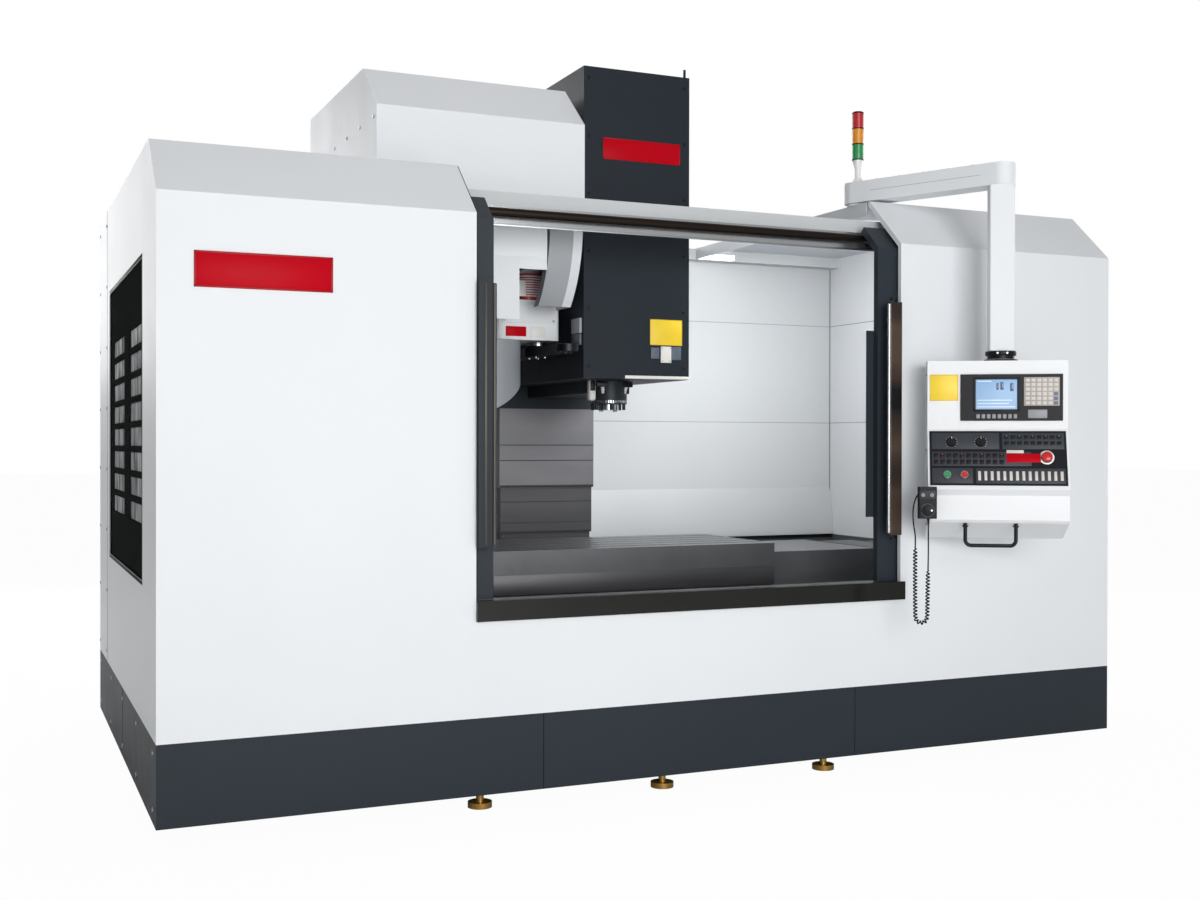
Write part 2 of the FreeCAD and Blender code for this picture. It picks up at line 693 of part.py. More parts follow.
def make_table():
    y0 = spindle_y - table_depth / 2
    table = box(-table_length / 2, table_length / 2, y0, y0 + table_depth, table_bottom, table_top)
    for i in range(slot_count):
        y = spindle_y + (i - (slot_count - 1) / 2) * slot_pitch
        neck = box(-table_length, table_length, y - slot_width / 2, y + slot_width / 2,
                   table_top - slot_depth, table_top + 1)
        foot = box(-table_length, table_length, y - slot_foot_width / 2, y + slot_foot_width / 2,
                   table_top - slot_depth, table_top - slot_depth + slot_foot_height)
        table = table.cut(neck).cut(foot)
    for dy in (-x_rail_y, x_rail_y):
        for x in (-430, 430):
            y = spindle_y + dy
            block = box(x - 70, x + 70, y - block_half, y + block_half, saddle_top + 8, table_bottom)
            slot = box(x - 71, x + 71, y - rail_width / 2 - fit, y + rail_width / 2 + fit,
                       saddle_top, saddle_top + rail_height + fit)
            table = joined(table, block.cut(slot))
    nut = box(-70, 70, spindle_y - 45, spindle_y + 45, x_screw_z - 40, table_bottom)
    bore = rod(18 + fit, 200, (-100, spindle_y, x_screw_z), (1, 0, 0))
    table = joined(table, nut.cut(bore))
    for side in (-1, 1):
        near = side * table_length / 2
        far = near + side * x_cover_length
        table = joined(table, hood_x(min(near, far), max(near, far), 0, side))
    parts["table"] = table


carriage_height = 800.0
carriage_top = carriage_bottom + carriage_height
motor_bottom = carriage_top - 35
motor_height = 430.0
housing_radius = 88.0
spindle_radius = 48.0


def make_head():
    back = column_front - rail_height - 15
    body_bottom = head_cover_bottom + 24
    body = box(-200, 200, spindle_y - 205, z_cover_front, body_bottom, motor_bottom)
    carriage = box(-neck_half, neck_half, z_cover_front, back, carriage_bottom, carriage_top)
    housing = rod(housing_radius, 140, (0, spindle_y, nose_height + 28), (0, 0, 1))
    web = box(-110, 110, spindle_y, z_cover_front, body_bottom - 80, body_bottom + 1)
    motor = box(-125, 125, spindle_y - 125, spindle_y + 125, motor_bottom, motor_bottom + motor_height)
    head = joined(body, carriage, housing, web, motor)
    for angle in range(20, 360, 60):
        a = math.radians(angle)
        x, y = (housing_radius - 12) * math.cos(a), spindle_y + (housing_radius - 12) * math.sin(a)
        head = joined(head, rod(8, 30, (x, y, nose_height), (0, 0, 1)))
    for x in (-z_rail_x, z_rail_x):
        for z in (carriage_bottom + 100, carriage_top - 100):
            block = box(x - block_half, x + block_half, back, column_front - 8, z - 80, z + 80)
            slot = box(x - rail_width / 2 - fit, x + rail_width / 2 + fit,
                       column_front - rail_height - fit, column_front, z - 81, z + 81)
            head = joined(head, block.cut(slot))
    nut_z = carriage_bottom + 375
    nut = box(-50, 50, back, z_screw_y + 45, nut_z, nut_z + 100)
    bore = rod(screw_radius + fit, 200, (0, z_screw_y, nut_z - 60), (0, 0, 1))
    shaft = rod(spindle_radius + seat, motor_bottom + 10 - nose_height, (0, spindle_y, nose_height),
                (0, 0, 1))
    plate = hood_z(carriage_bottom - z_cover_plate, carriage_bottom, 0, True)
    parts["head_casting"] = joined(head, nut.cut(bore), plate).cut(shaft)


head_front = 650.0
head_half = 263.0
head_cover_bottom = nose_height + 134
head_cover_height = 1383.0
head_cover_top = head_cover_bottom + head_cover_height


def make_head_cover():
    t = sheet
    outer = box(-head_half, head_half, head_front, z_cover_front, head_cover_bottom, head_cover_top)
    inner = box(-head_half + t, head_half - t, head_front + t, z_cover_front + 1,
                head_cover_bottom + t, head_cover_top - t)
    shell = outer.cut(inner)
    shell = shell.cut(rod(housing_radius + seat, 20, (0, spindle_y, head_cover_bottom - 5), (0, 0, 1)))
    shell = shell.cut(box(-111, 111, spindle_y, z_cover_front + 1, head_cover_bottom - 1,
                          head_cover_bottom + 26))
    mast = rod(6, 40, (head_half - 15, head_front + 20, head_cover_top), (0, 0, 1))
    top_plate = box(-200, 200, 900, 1500, head_cover_top - t, head_cover_top)
    bearers = []
    for side in (-1, 1):
        near, far = side * 200, side * (head_half - t)
        bearers.append(box(min(near, far), max(near, far), z_cover_front - 12, z_cover_front,
                           carriage_top - 120, carriage_top - 20))
    parts["head_cover"] = joined(shell, mast, top_plate, *bearers)


taper_gauge = 22.225          # radius at the face of a 7:24 taper, size 40
taper_length = 65.0
drawbar_radius = 13.0


def make_spindle():
    nose = rod(spindle_radius + 2, 26, (0, spindle_y, nose_height), (0, 0, 1))
    shaft = rod(spindle_radius, motor_bottom - 10 - nose_height, (0, spindle_y, nose_height), (0, 0, 1))
    small = taper_gauge - taper_length * 7 / 48
    taper = Part.makeCone(taper_gauge, small, taper_length, V(0, spindle_y, nose_height), V(0, 0, 1))
    hole = rod(drawbar_radius, 160, (0, spindle_y, nose_height), (0, 0, 1))
    spindle = joined(nose, shaft).cut(taper).cut(hole)
    for side in (-1, 1):
        key = box(side * 36 - 8, side * 36 + 8, spindle_y - 8, spindle_y + 8, nose_height - 8,
                  nose_height + 4)
        spindle = joined(spindle, key)
    parts["spindle"] = spindle


# ---- tool changer ------------------------------------------------------------------------------
unit_left = -615.0
unit_right = -313.0
unit_front = 800.0
unit_back = 1150.0
unit_bottom = arm_top + 22
unit_top = unit_bottom + arm_travel + 49
frame_left = -506.0
frame_front = 965.0
hub_radius = 30.0


def make_magazine_frame():
    centre = (frame_left, spindle_y, magazine_height)
    disc = rod(magazine_radius - 20, drum_left - frame_left, centre, (1, 0, 0))
    disc = disc.common(box(frame_left, drum_left, frame_front, 3000, unit_top, 3000))
    boss = rod(70, drum_left - frame_left, centre, (1, 0, 0))
    arm = box(frame_left, drum_left, frame_front, back_wall - seat, magazine_height - 150,
              magazine_height + 95)
    bracket = box(drum_left, -neck_half, column_front + 10, back_wall - seat, magazine_height - 150,
                  magazine_height + 95)
    frame = joined(disc, boss, arm, bracket)
    bore = rod(hub_radius + fit, 60, (frame_left - 20, spindle_y, magazine_height), (1, 0, 0))
    hanger = box(frame_left, drum_left, frame_front, unit_back, unit_top, unit_top + 60)
    return joined(frame, hanger).cut(bore)


def make_drum_cover():
    length = drum_right - drum_left
    outer = rod(magazine_radius, length, (drum_left, spindle_y, magazine_height), (1, 0, 0))
    inner = rod(magazine_radius - sheet, length - sheet, (drum_left, spindle_y, magazine_height),
                (1, 0, 0))
    shell = outer.cut(inner)
    unit = box(unit_left, 0, unit_front - 30, unit_back + 30, unit_bottom - 100, unit_top + 12)
    rib = rod(magazine_radius - sheet, sheet, (drum_left, spindle_y, magazine_height), (1, 0, 0))
    rib = rib.cut(rod(magazine_radius - 40, 20, (drum_left - 5, spindle_y, magazine_height), (1, 0, 0)))
    below_lip = box(unit_left, 0, 0, unit_front, unit_bottom - 100, unit_top - 45)
    return joined(shell, rib).cut(unit).cut(below_lip)


def make_magazine():
    parts["magazine_frame"] = group(make_magazine_frame(), make_drum_cover())
    axis = (1, 0, 0)
    rim = pot_circle + pot_radius + 6
    disc = rod(rim, disc_thickness, (disc_x, spindle_y, magazine_height), axis)
    hub = rod(60, frame_left - disc_x - fit, (disc_x, spindle_y, magazine_height), axis)
    shaft = rod(hub_radius, drum_left - disc_x - fit, (disc_x, spindle_y, magazine_height), axis)
    magazine = joined(disc, hub, shaft)
    for i in range(1, pot_count):
        a = 2 * math.pi * i / pot_count
        y, z = spindle_y - pot_circle * math.sin(a), magazine_height - pot_circle * math.cos(a)
        magazine = joined(magazine, pot_with_tool(y, z))
    ear_z = magazine_height - pot_circle
    window = box(disc_x - 1, disc_x + disc_thickness + 1, spindle_y - pot_radius - 6,
                 spindle_y + pot_radius + 6, ear_z - 60, ear_z + pot_radius + 8)
    pin = rod(6, 2 * pot_radius + 20, (pot_pin_x, spindle_y - pot_radius - 10, ear_z), (0, 1, 0))
    ears = []
    for side in (-1, 1):
        y0 = spindle_y + side * (pot_radius + 8)
        ears.append(box(pot_pin_x - 14, disc_x + disc_thickness, min(y0, y0 + side * 8),
                        max(y0, y0 + side * 8), ear_z - 12, ear_z + 12))
    magazine = joined(magazine.cut(window), pin, *ears)
    parts["magazine_disc"] = magazine
    pot = pot_with_tool(spindle_y, ear_z).cut(
        rod(6 + fit, 200, (pot_pin_x, spindle_y - 100, ear_z), (0, 1, 0)))
    parts["ready_pot"] = pot


pot_pin_x = -676.0


def pot_with_tool(y, z):
    """Pot pointing left with the flange and end of the holder in it."""
    pot = rod(pot_radius, pot_length, (disc_x, y, z), (-1, 0, 0))
    holder = rod(31.5, 18, (disc_x - pot_length, y, z), (-1, 0, 0))
    end = rod(18, 16, (disc_x - pot_length - 18, y, z), (-1, 0, 0))
    return joined(pot, holder, end)


hood_left = -1248.0
hood_right = -336.0
hood_front = spindle_y - magazine_radius
hood_crease = 2771.0
hood_slope_back = hood_front + 220
hood_top = 2965.0
hood_back = spindle_y + magazine_radius + 242
skirt_bottom = 2190.0


def make_hood():
    def outline(t):
        return [(hood_front + t, roof_height - 1), (hood_front + t, hood_crease),
                (hood_slope_back + t, hood_top - t), (hood_back - t, hood_top - t),
                (hood_back - t, roof_height - 1)]
    outer = prism_x(outline(0), hood_left, hood_right)
    inner = prism_x(outline(sheet), hood_left + sheet, hood_right - sheet)
    shell = outer.cut(inner).cut(box(hood_left - 1, hood_right + 1, 0, 3000, 2000, roof_height))
    edge = opening_left + 1
    skirt = box(edge, hood_right, hood_front, hood_front + sheet, header_bottom + 55, roof_height)
    low = box(edge, frame_left - 3, hood_front, hood_front + sheet, skirt_bottom, roof_height)
    side = box(hood_right - sheet, hood_right, hood_front, hood_back, header_bottom + 55, roof_height)
    parts["magazine_hood"] = joined(shell, skirt, low, side)


sleeve_radius = 48.0
arm_shaft_radius = 30.0
arm_half = 38.0
jaw_radius = 52.0
jaw_inner = 33.0


def make_change_unit():
    body = box(unit_left, unit_right, unit_front, unit_back, unit_bottom, unit_top)
    upright = [e for e in body.Edges if is_upright(e)]
    body = body.makeFillet(28, upright)
    bore = rod(sleeve_radius + fit, arm_travel + 35, (-arm_reach, spindle_y, unit_bottom - 1), (0, 0, 1))
    motor = rod(60, 120, (-440, 872, unit_top), (0, 0, 1))
    cap = rod(48, 26, (-440, 872, unit_top + 120), (0, 0, 1))
    parts["change_unit"] = joined(body.cut(bore), motor, cap)


def make_change_arm():
    sleeve_bottom = arm_top + 6
    sleeve = rod(sleeve_radius, unit_bottom + arm_travel + 30 - sleeve_bottom,
                 (-arm_reach, spindle_y, sleeve_bottom), (0, 0, 1))
    bore = rod(arm_shaft_radius + fit, 300, (-arm_reach, spindle_y, sleeve_bottom - 10), (0, 0, 1))
    parts["arm_sleeve"] = sleeve.cut(bore)
    z0 = arm_top - arm_thickness
    bar = box(-arm_reach - arm_half, -arm_reach + arm_half, spindle_y - arm_reach + 30,
              spindle_y + arm_reach - 30, z0, arm_top)
    hub = rod(62, arm_thickness, (-arm_reach, spindle_y, z0), (0, 0, 1))
    collar = rod(44, 5, (-arm_reach, spindle_y, arm_top), (0, 0, 1))
    shaft = rod(arm_shaft_radius, unit_bottom + arm_travel + 28 - z0, (-arm_reach, spindle_y, z0),
                (0, 0, 1))
    arm = joined(bar, hub, collar, shaft)
    for side in (-1, 1):
        y = spindle_y + side * arm_reach
        jaw = rod(jaw_radius, arm_thickness - 15, (-arm_reach, y, z0 + 7), (0, 0, 1))
        hole = rod(jaw_inner, arm_thickness + 2, (-arm_reach, y, z0 - 1), (0, 0, 1))
        open_side = box(min(-arm_reach, -arm_reach - side * 70), max(-arm_reach, -arm_reach - side * 70),
                        y - 30, y + 30, z0 - 1, arm_top + 1)
        arm = joined(arm, jaw).cut(hole).cut(open_side)
    for y in (-1, 1):
        for x in (-1, 1):
            arm = joined(arm, rod(8, 6, (-arm_reach + 22 * x, spindle_y + 42 * y, z0 - 6), (0, 0, 1)))
    parts["change_arm"] = arm


# ---- boom and console --------------------------------------------------------------------------
def at_console(shape):
    """From the console's own frame, facing -y about the drop tube, to the machine's."""
    placed = shape.copy()
    placed.rotate(V(0, 0, 0), V(0, 0, 1), console_turn)
    placed.translate(V(tube_x, tube_y, 0))
    return placed


tilt = math.degrees(math.atan2(slope_out, slope_top - slope_bottom))


def at_keyboard(shape):
    """From the keyboard's frame, x along it, -y out of it and z up it from its top edge."""
    placed = shape.copy()
    placed.rotate(V(0, 0, 0), V(1, 0, 0), -tilt)
    placed.translate(V(0, console_face, slope_top))
    return at_console(placed)


def make_boom():
    reach = math.hypot(tube_x - pivot_x, tube_y - pivot_y)
    top = boom_bottom + boom_height
    arm = box(0, reach, -boom_width / 2, boom_width / 2, boom_bottom, top)
    hub = rod(boom_width / 2, boom_height, (0, 0, boom_bottom), (0, 0, 1))
    end = rod(boom_width / 2, boom_height, (reach, 0, boom_bottom), (0, 0, 1))
    boom = joined(arm, hub, end)
    boom.rotate(V(0, 0, 0), V(0, 0, 1), math.degrees(math.atan2(tube_y - pivot_y, tube_x - pivot_x)))
    boom.translate(V(pivot_x, pivot_y, 0))
    h = drop_tube / 2
    tube = box(-h, h, -h, h, console_top + swivel_height, boom_bottom)
    tube = tube.makeFillet(8, [e for e in tube.Edges if is_upright(e)])
    collar = rod(62, 22, (0, 0, console_top + swivel_height - 22), (0, 0, 1))
    parts["boom"] = joined(boom, at_console(joined(tube, collar)))


tower_radius = 26.0
lamp_height = 72.0


def make_tower():
    z = boom_bottom + boom_height
    base = Part.makeCone(30, 18, 24, V(pivot_x, pivot_y, z))
    pole = Part.makeCylinder(14, 60, V(pivot_x, pivot_y, z + 20))
    cup = Part.makeCone(14, tower_radius, 40, V(pivot_x, pivot_y, z + 70))
    lamps = Part.makeCylinder(tower_radius, 3 * lamp_height, V(pivot_x, pivot_y, z + 110))
    cap = Part.makeCylinder(tower_radius - 3, 6, V(pivot_x, pivot_y, z + 110 + 3 * lamp_height))
    parts["signal_tower"] = joined(base, pole, cup, lamps, cap)


def console_outline():
    """Side view of the console in its own frame, (y, z)."""
    out = console_face - slope_out
    return [(console_face, console_top), (console_face, slope_top), (out, slope_bottom),
            (out + 26, slope_bottom - 26), (out + 26, lip_bottom + 12), (out + 38, lip_bottom),
            (console_back - 40, console_foot), (console_back, console_foot + 40),
            (console_back, console_top)]


corner_cut = 50.0
knob_places = {"feed_knob": (-215.0, -62.0), "spindle_knob": (-95.0, -62.0)}
knob_radius = 19.0
button_places = {"start_button": (-235.0, -205.0), "hold_button": (-165.0, -205.0)}
button_radius = 13.0
stop_place = (170.0, -128.0)
stop_radius = 21.0
button_stroke = 4.0
stop_stroke = 6.0
panel_thickness = 4.0


def make_console():
    shell = prism_x(console_outline(), console_left, console_right)
    for side in (-1, 1):
        edge = console_left if side < 0 else console_right
        cut = prism_z([(edge, console_back - corner_cut), (edge + side, console_back + 1),
                       (edge - side * corner_cut, console_back + 1),
                       (edge - side * corner_cut, console_back)], 900, 1800)
        shell = shell.cut(cut)
    ring = rod(70, 10, (0, 0, console_top), (0, 0, 1))
    ring2 = rod(56, swivel_height - 22 - 10 - fit, (0, 0, console_top + 10), (0, 0, 1))
    shell = joined(shell, ring, ring2)
    recess = box(unit_x0, unit_x1, console_face - 1, console_face + 12, unit_z0, unit_z1)
    shell = at_console(shell.cut(recess))
    for x, z in list(knob_places.values()) + list(button_places.values()) + [stop_place]:
        shell = shell.cut(at_keyboard(rod(9 + fit, 40, (x, -5, z), (0, 1, 0))))
    parts["console_shell"] = shell
    unit = box(unit_x0 + seat, unit_x1 - seat, console_face - 6, console_face + 12, unit_z0 + seat,
               unit_z1 - seat)
    screen = box(unit_x0 + 62, unit_x0 + 232, console_face - 7, console_face - 3, unit_z0 + 48,
                 unit_z1 - 22)
    unit = unit.cut(screen)
    parts["cnc_unit"] = at_console(unit)
    keyboard = box(console_left + 8, console_right - 10, -panel_thickness, 0, -250, -12)
    for x, z in list(knob_places.values()) + list(button_places.values()) + [stop_place]:
        keyboard = keyboard.cut(rod(9 + fit, 20, (x, -10, z), (0, 1, 0)))
    parts["operator_panel"] = at_keyboard(keyboard)
    handle = bar_handle()
    parts["console_handle"] = at_console(handle)


unit_x0 = -177.0
unit_x1 = 240.0
unit_z0 = 1503.0
unit_z1 = 1700.0


def bar_handle():
    """Bent round bar under the console's lip."""
    r = 8.0
    x0, x1 = -158.0, 48.0
    y = console_face - slope_out + 50
    z0, z1 = 978.0, lip_bottom + 2
    bend = 24.0
    path = Part.Wire([
        Part.makeLine(V(x0, y, z1), V(x0, y, z0 + bend)),
        Part.Arc(V(x0, y, z0 + bend), V(x0 + bend * (1 - math.sqrt(0.5)), y, z0 + bend * (1 - math.sqrt(0.5))),
                 V(x0 + bend, y, z0)).toShape(),
        Part.makeLine(V(x0 + bend, y, z0), V(x1 - bend, y, z0)),
        Part.Arc(V(x1 - bend, y, z0), V(x1 - bend * (1 - math.sqrt(0.5)), y, z0 + bend * (1 - math.sqrt(0.5))),
                 V(x1, y, z0 + bend)).toShape(),
        Part.makeLine(V(x1, y, z0 + bend), V(x1, y, z1))])
    circle = Part.Wire([Part.makeCircle(r, V(x0, y, z1), V(0, 0, -1))])
    bar = path.makePipeShell([circle], True, False)
    return bar.cut(prism_x(console_outline(), console_left, console_right))


def knob(radius, height, x, z, shaft):
    """Knob on the keyboard with its spindle through the panel."""
    face = -panel_thickness - fit
    body = rod(radius, height, (x, face, z), (0, -1, 0))
    grip = box(x - 3, x + 3, face - height - 6, face - height, z - radius + 2, z + radius - 2)
    stem = rod(9, shaft, (x, face, z), (0, 1, 0))
    return joined(body, grip, stem)


def make_controls():
    for name, (x, z) in knob_places.items():
        parts[name] = at_keyboard(knob(knob_radius, 14, x, z, 28))
    for name, (x, z) in button_places.items():
        face = -panel_thickness - button_stroke - fit
        cap = rod(button_radius, 7, (x, face, z), (0, -1, 0))
        stem = rod(9, 26, (x, face, z), (0, 1, 0))
        parts[name] = at_keyboard(joined(cap, stem))
    x, z = stop_place
    face = -panel_thickness - stop_stroke - fit
    mushroom = rod(stop_radius, 12, (x, face, z), (0, -1, 0))
    stem = rod(9, 26, (x, face, z), (0, 1, 0))
    parts["emergency_stop"] = at_keyboard(joined(mushroom, stem))


# ---- hand wheel pendant ------------------------------------------------------------------------
pendant_x0 = -358.0
pendant_x1 = -280.0
pendant_back = -198.0
pendant_front = -236.0
pendant_bottom = 1093.0
pendant_top = 1226.0
dial_radius = 27.0
dial_z = 1128.0
selector_z = 1192.0
selector_x = 18.0
selector_radius = 8.0


def make_pendant():
    body = box(pendant_x0, pendant_x1, pendant_front, pendant_back, pendant_bottom, pendant_top)
    body = body.makeFillet(8, [e for e in body.Edges if is_upright(e)])
    hook = box(-311, -290, pendant_back, console_face - slope_out + 30, 1150, 1175)
    hook = hook.cut(prism_x(console_outline(), console_left, console_right))
    body = joined(body, hook)
    mid = (pendant_x0 + pendant_x1) / 2
    spots = [(mid, dial_z), (mid - selector_x, selector_z), (mid + selector_x, selector_z)]
    for x, z in spots:
        body = body.cut(rod(4 + fit, 14, (x, pendant_front - 1, z), (0, 1, 0)))
    parts["pendant"] = at_console(body)
    face = pendant_front - fit
    dial = joined(rod(dial_radius, 10, (mid, face, dial_z), (0, -1, 0)),
                  rod(4, 12, (mid, face, dial_z), (0, 1, 0)),
                  rod(5, 8, (mid + 16, face - 10, dial_z), (0, -1, 0)))
    parts["pendant_dial"] = at_console(dial)
    for name, x in (("axis_selector", mid - selector_x), ("step_selector", mid + selector_x)):
        turn = joined(rod(selector_radius, 10, (x, face, selector_z), (0, -1, 0)),
                      rod(4, 12, (x, face, selector_z), (0, 1, 0)),
                      box(x - 1.5, x + 1.5, face - 13, face - 10, selector_z - 6, selector_z + 6))
        parts[name] = at_console(turn)


cord_radius = 3.0
coil_radius = 10.0            # outside of the curls
coil_turns = 40
lead_in = [(-313, -158, 1205), (-340, -158, 1205), (-362, -172, 1183), (-376, -192, 1140),
           (-376, -207, 1075), (-366.9, -215, 1025), (-367, -215, 985)]
hanging_coil = [(-367, -215, 985), (-367.5, -215, 790), (-366.2, -215, 710), (-366, -215, 670),
                (-352, -215, 656), (-332, -215, 656), (-318, -215, 670), (-317, -215, 710),
                (-316, -215, 790), (-314.5, -215, 889)]
lead_out = [(-314.5, -215, 889), (-313.5, -215, 955), (-314, -217, 1022), (-314, -217, 1093)]


def run_along(points):
    """Path of straight runs joined by tangent arcs as large as the runs allow, and its radii."""
    pts = [V(*p) for p in points]
    edges = []
    start = pts[0]
    radii = []
    for before, corner, after in zip(pts, pts[1:], pts[2:]):
        a = (before - corner).normalize()
        b = (after - corner).normalize()
        turn = math.pi - a.getAngle(b)
        reach = 0.45 * min((before - corner).Length, (after - corner).Length)
        bend = reach / math.tan(turn / 2)
        radii.append(bend)
        p0, p1 = corner + a * reach, corner + b * reach
        middle = (a + b).normalize()
        centre = corner + middle * (bend / math.cos(turn / 2))
        edges.append(Part.makeLine(start, p0))
        edges.append(Part.Arc(p0, centre - middle * bend, p1).toShape())
        start = p1
    edges.append(Part.makeLine(start, pts[-1]))
    return edges, radii


def pipe(edges, radius, label, radii):
    """Round tube along edges, with its volume set against its section times its length."""
    path = Part.Wire(edges)
    start = edges[0].valueAt(edges[0].FirstParameter)
    heading = edges[0].tangentAt(edges[0].FirstParameter)
    tube = path.makePipeShell([Part.Wire([Part.makeCircle(radius, start, heading)])], True, False)
    print(label, "length", round(path.Length), "least radius", round(min(radii), 1),
          "volume ratio", round(tube.Volume / (math.pi * radius ** 2 * path.Length), 4))
    return tube


def place_on(edges, distance):
    """Point and direction at a distance along edges."""
    for edge in edges:
        if distance <= edge.Length or edge is edges[-1]:
            span = edge.LastParameter - edge.FirstParameter
            at = edge.FirstParameter + span * distance / edge.Length
            return edge.valueAt(at), edge.tangentAt(at)
        distance -= edge.Length


def curl_point(edges, total, share):
    """Point of the curly cord's wire at a share of its curls."""
    lead = 2 * cord_radius
    centre, heading = place_on(edges, lead + (total - 2 * lead) * share)
    grow = min(1.0, share * coil_turns / 2, (1 - share) * coil_turns / 2)
    reach = (coil_radius - cord_radius) * grow * grow * (3 - 2 * grow)
    angle = 2 * math.pi * coil_turns * share
    side = V(0, 1, 0)
    across = heading.cross(side).normalize()
    return centre + across * (reach * math.cos(angle)) + side * (reach * math.sin(angle))


def arc_from(start, heading, end):
    """Arc that leaves start along heading and reaches end, and its radius."""
    chord = end - start
    half = heading.getAngle(chord)
    if half < 1e-4:
        return Part.makeLine(start, end), 1e6
    rise = (heading - chord * (heading.dot(chord) / chord.dot(chord))).normalize()
    top = (start + end) * 0.5 + rise * (chord.Length / 2 * math.tan(half / 2))
    return Part.Arc(start, top, end).toShape(), chord.Length / (2 * math.sin(half))


def biarc(start, heading, end, leaving):
    """Two tangent arcs from one point and direction to another."""
    v = end - start
    t = heading + leaving
    spread = 2 * (1 - heading.dot(leaving))
    vt = v.dot(t)
    if spread < 1e-9:
        reach = v.dot(v) / (4 * v.dot(leaving))
    else:
        reach = (-vt + math.sqrt(vt * vt + spread * v.dot(v))) / spread
    joint = (start + end + (heading - leaving) * reach) * 0.5
    first, r0 = arc_from(start, heading, joint)
    turn = arc_from(end, leaving * -1, joint)
    second = turn[0]
    back = Part.Arc(joint, second.valueAt((second.FirstParameter + second.LastParameter) / 2), end)
    return [first, back.toShape()], [r0, turn[1]]


def curly(points):
    """Curly cord on a route: quarter turns of biarcs between two short straight ends."""
    route, radii = run_along(points)
    total = sum(edge.Length for edge in route)
    steps = 4 * coil_turns
    step = 1e-4
    ends = [place_on(route, 0), place_on(route, total)]
    knots = []
    for i in range(steps + 1):
        share = i / steps
        if i == 0 or i == steps:
            heading = ends[i // steps][1]
        else:
            heading = (curl_point(route, total, share + step) - curl_point(route, total, share - step))
            heading = heading.normalize()
        knots.append((curl_point(route, total, share), heading))
    edges = [Part.makeLine(ends[0][0], knots[0][0])]
    radii = []
    for (a, heading), (b, leaving) in zip(knots, knots[1:]):
        arcs, bends = biarc(a, heading, b, leaving)
        edges += arcs
        radii += bends
    edges.append(Part.makeLine(knots[-1][0], ends[1][0]))
    print("curls", coil_turns, "least gap", round(least_gap(edges), 2))
    return pipe(edges, cord_radius, "curly part", radii)


def least_gap(edges):
    """Smallest gap of a curled wire to itself, between points over two diameters apart along it."""
    points = []
    run = 0.0
    for edge in edges:
        for k in range(4):
            at = edge.FirstParameter + (edge.LastParameter - edge.FirstParameter) * k / 4
            points.append((run + edge.Length * k / 4, edge.valueAt(at)))
        run += edge.Length
    gap = 1e6
    for i, (here, a) in enumerate(points):
        for there, b in points[i + 1:i + 150]:
            if there - here > 4 * cord_radius:
                gap = min(gap, (a - b).Length)
    return gap - 2 * cord_radius


def make_cord():
    first, radii = run_along(lead_in)
    parts["pendant_cord_in"] = at_console(pipe(first, cord_radius, "cord in", radii))
    parts["pendant_coil"] = at_console(curly(hanging_coil))
    last, radii = run_along(lead_out)
    parts["pendant_cord_out"] = at_console(pipe(last, cord_radius, "cord out", radii))


# ---- cabinet, tank -----------------------------------------------------------------------------
cabinet_right = machine_width / 2 - 250
cabinet_width = 1180.0
cabinet_left = cabinet_right - cabinet_width
cabinet_depth = 400.0
cabinet_bottom = 380.0
cabinet_top = 2280.0


def make_cabinet():
    y0 = enclosure_depth
    body = box(cabinet_left, cabinet_right, y0, y0 + cabinet_depth - 24, cabinet_bottom, cabinet_top)
    door = box(cabinet_left + 14, cabinet_right - 14, y0 + cabinet_depth - 24, y0 + cabinet_depth,
               cabinet_bottom + 14, cabinet_top - 14)
    vents = []
    for i in range(6):
        z = cabinet_bottom + 120 + i * 30
        vents.append(box(cabinet_left + 200, cabinet_right - 200, y0 + cabinet_depth - 8,
                         y0 + cabinet_depth + 1, z, z + 12))
    for vent in vents:
        door = door.cut(vent)
    parts["electrical_cabinet"] = joined(body, door)


def make_tank():
    tank = box(tank_left, tank_right, tank_front, tank_back, tank_bottom, tank_top)
    pieces = [tank]
    r = castor_radius
    for x in (tank_left + 80, tank_right - 80):
        for y in (tank_front + 80, tank_back - 80):
            pieces.append(rod(r, 30, (x - 15, y, r), (1, 0, 0)))
            pieces.append(box(x - 22, x + 22, y - 15, y + 15, r + 8, tank_bottom))
    for x in (tank_left + 200, tank_right - 310):
        y = tank_back - 150
        pieces.append(rod(pump_radius + 13, 60, (x, y, tank_top), (0, 0, 1)))
        pieces.append(rod(pump_radius, pump_height, (x, y, tank_top + 60), (0, 0, 1)))
    parts["coolant_tank"] = joined(*pieces)


def make_light():
    x = opening_right + 15
    parts["work_light"] = box(x, x + 210, back_wall - 130, back_wall - 90, roof_height - 60,
                              roof_height - 32)


make_front()
make_sides()
make_side_window()
make_roof()
make_rear()
make_plinth()
make_inner_walls()
make_chip_pan()
make_sill()
make_door_rail()
make_door(-1, left_door_edge)
make_door(1, right_door_edge)
make_pads()
make_bed()
make_column()
make_feed_drives()
make_saddle()
make_cover_slides()
make_fixed_covers()
make_table()
make_head()
make_head_cover()
make_spindle()
make_magazine()
make_hood()
make_change_unit()
make_change_arm()
make_boom()
make_tower()
make_console()
make_controls()
make_pendant()
make_cord()
make_cabinet()
make_tank()
make_light()

# ---- origin under the middle of the machine ----------------------------------------------------
whole = FreeCAD.BoundBox()
for name, shape in parts.items():
    if not name.startswith(("pendant_cord", "pendant_coil")):
        whole.add(shape.BoundBox)
shift_y = -(whole.YMin + whole.YMax) / 2

os.makedirs("parts", exist_ok=True)
for name, shape in parts.items():
    shape.translate(V(0, shift_y, 0))
    if shape.ShapeType == "Compound" and len(shape.Solids) == 1:
        shape = shape.Solids[0]
    shape.exportStep("parts/" + name + ".step")
print("nodes", len(parts), "box", whole, "shift", round(shift_y, 3))
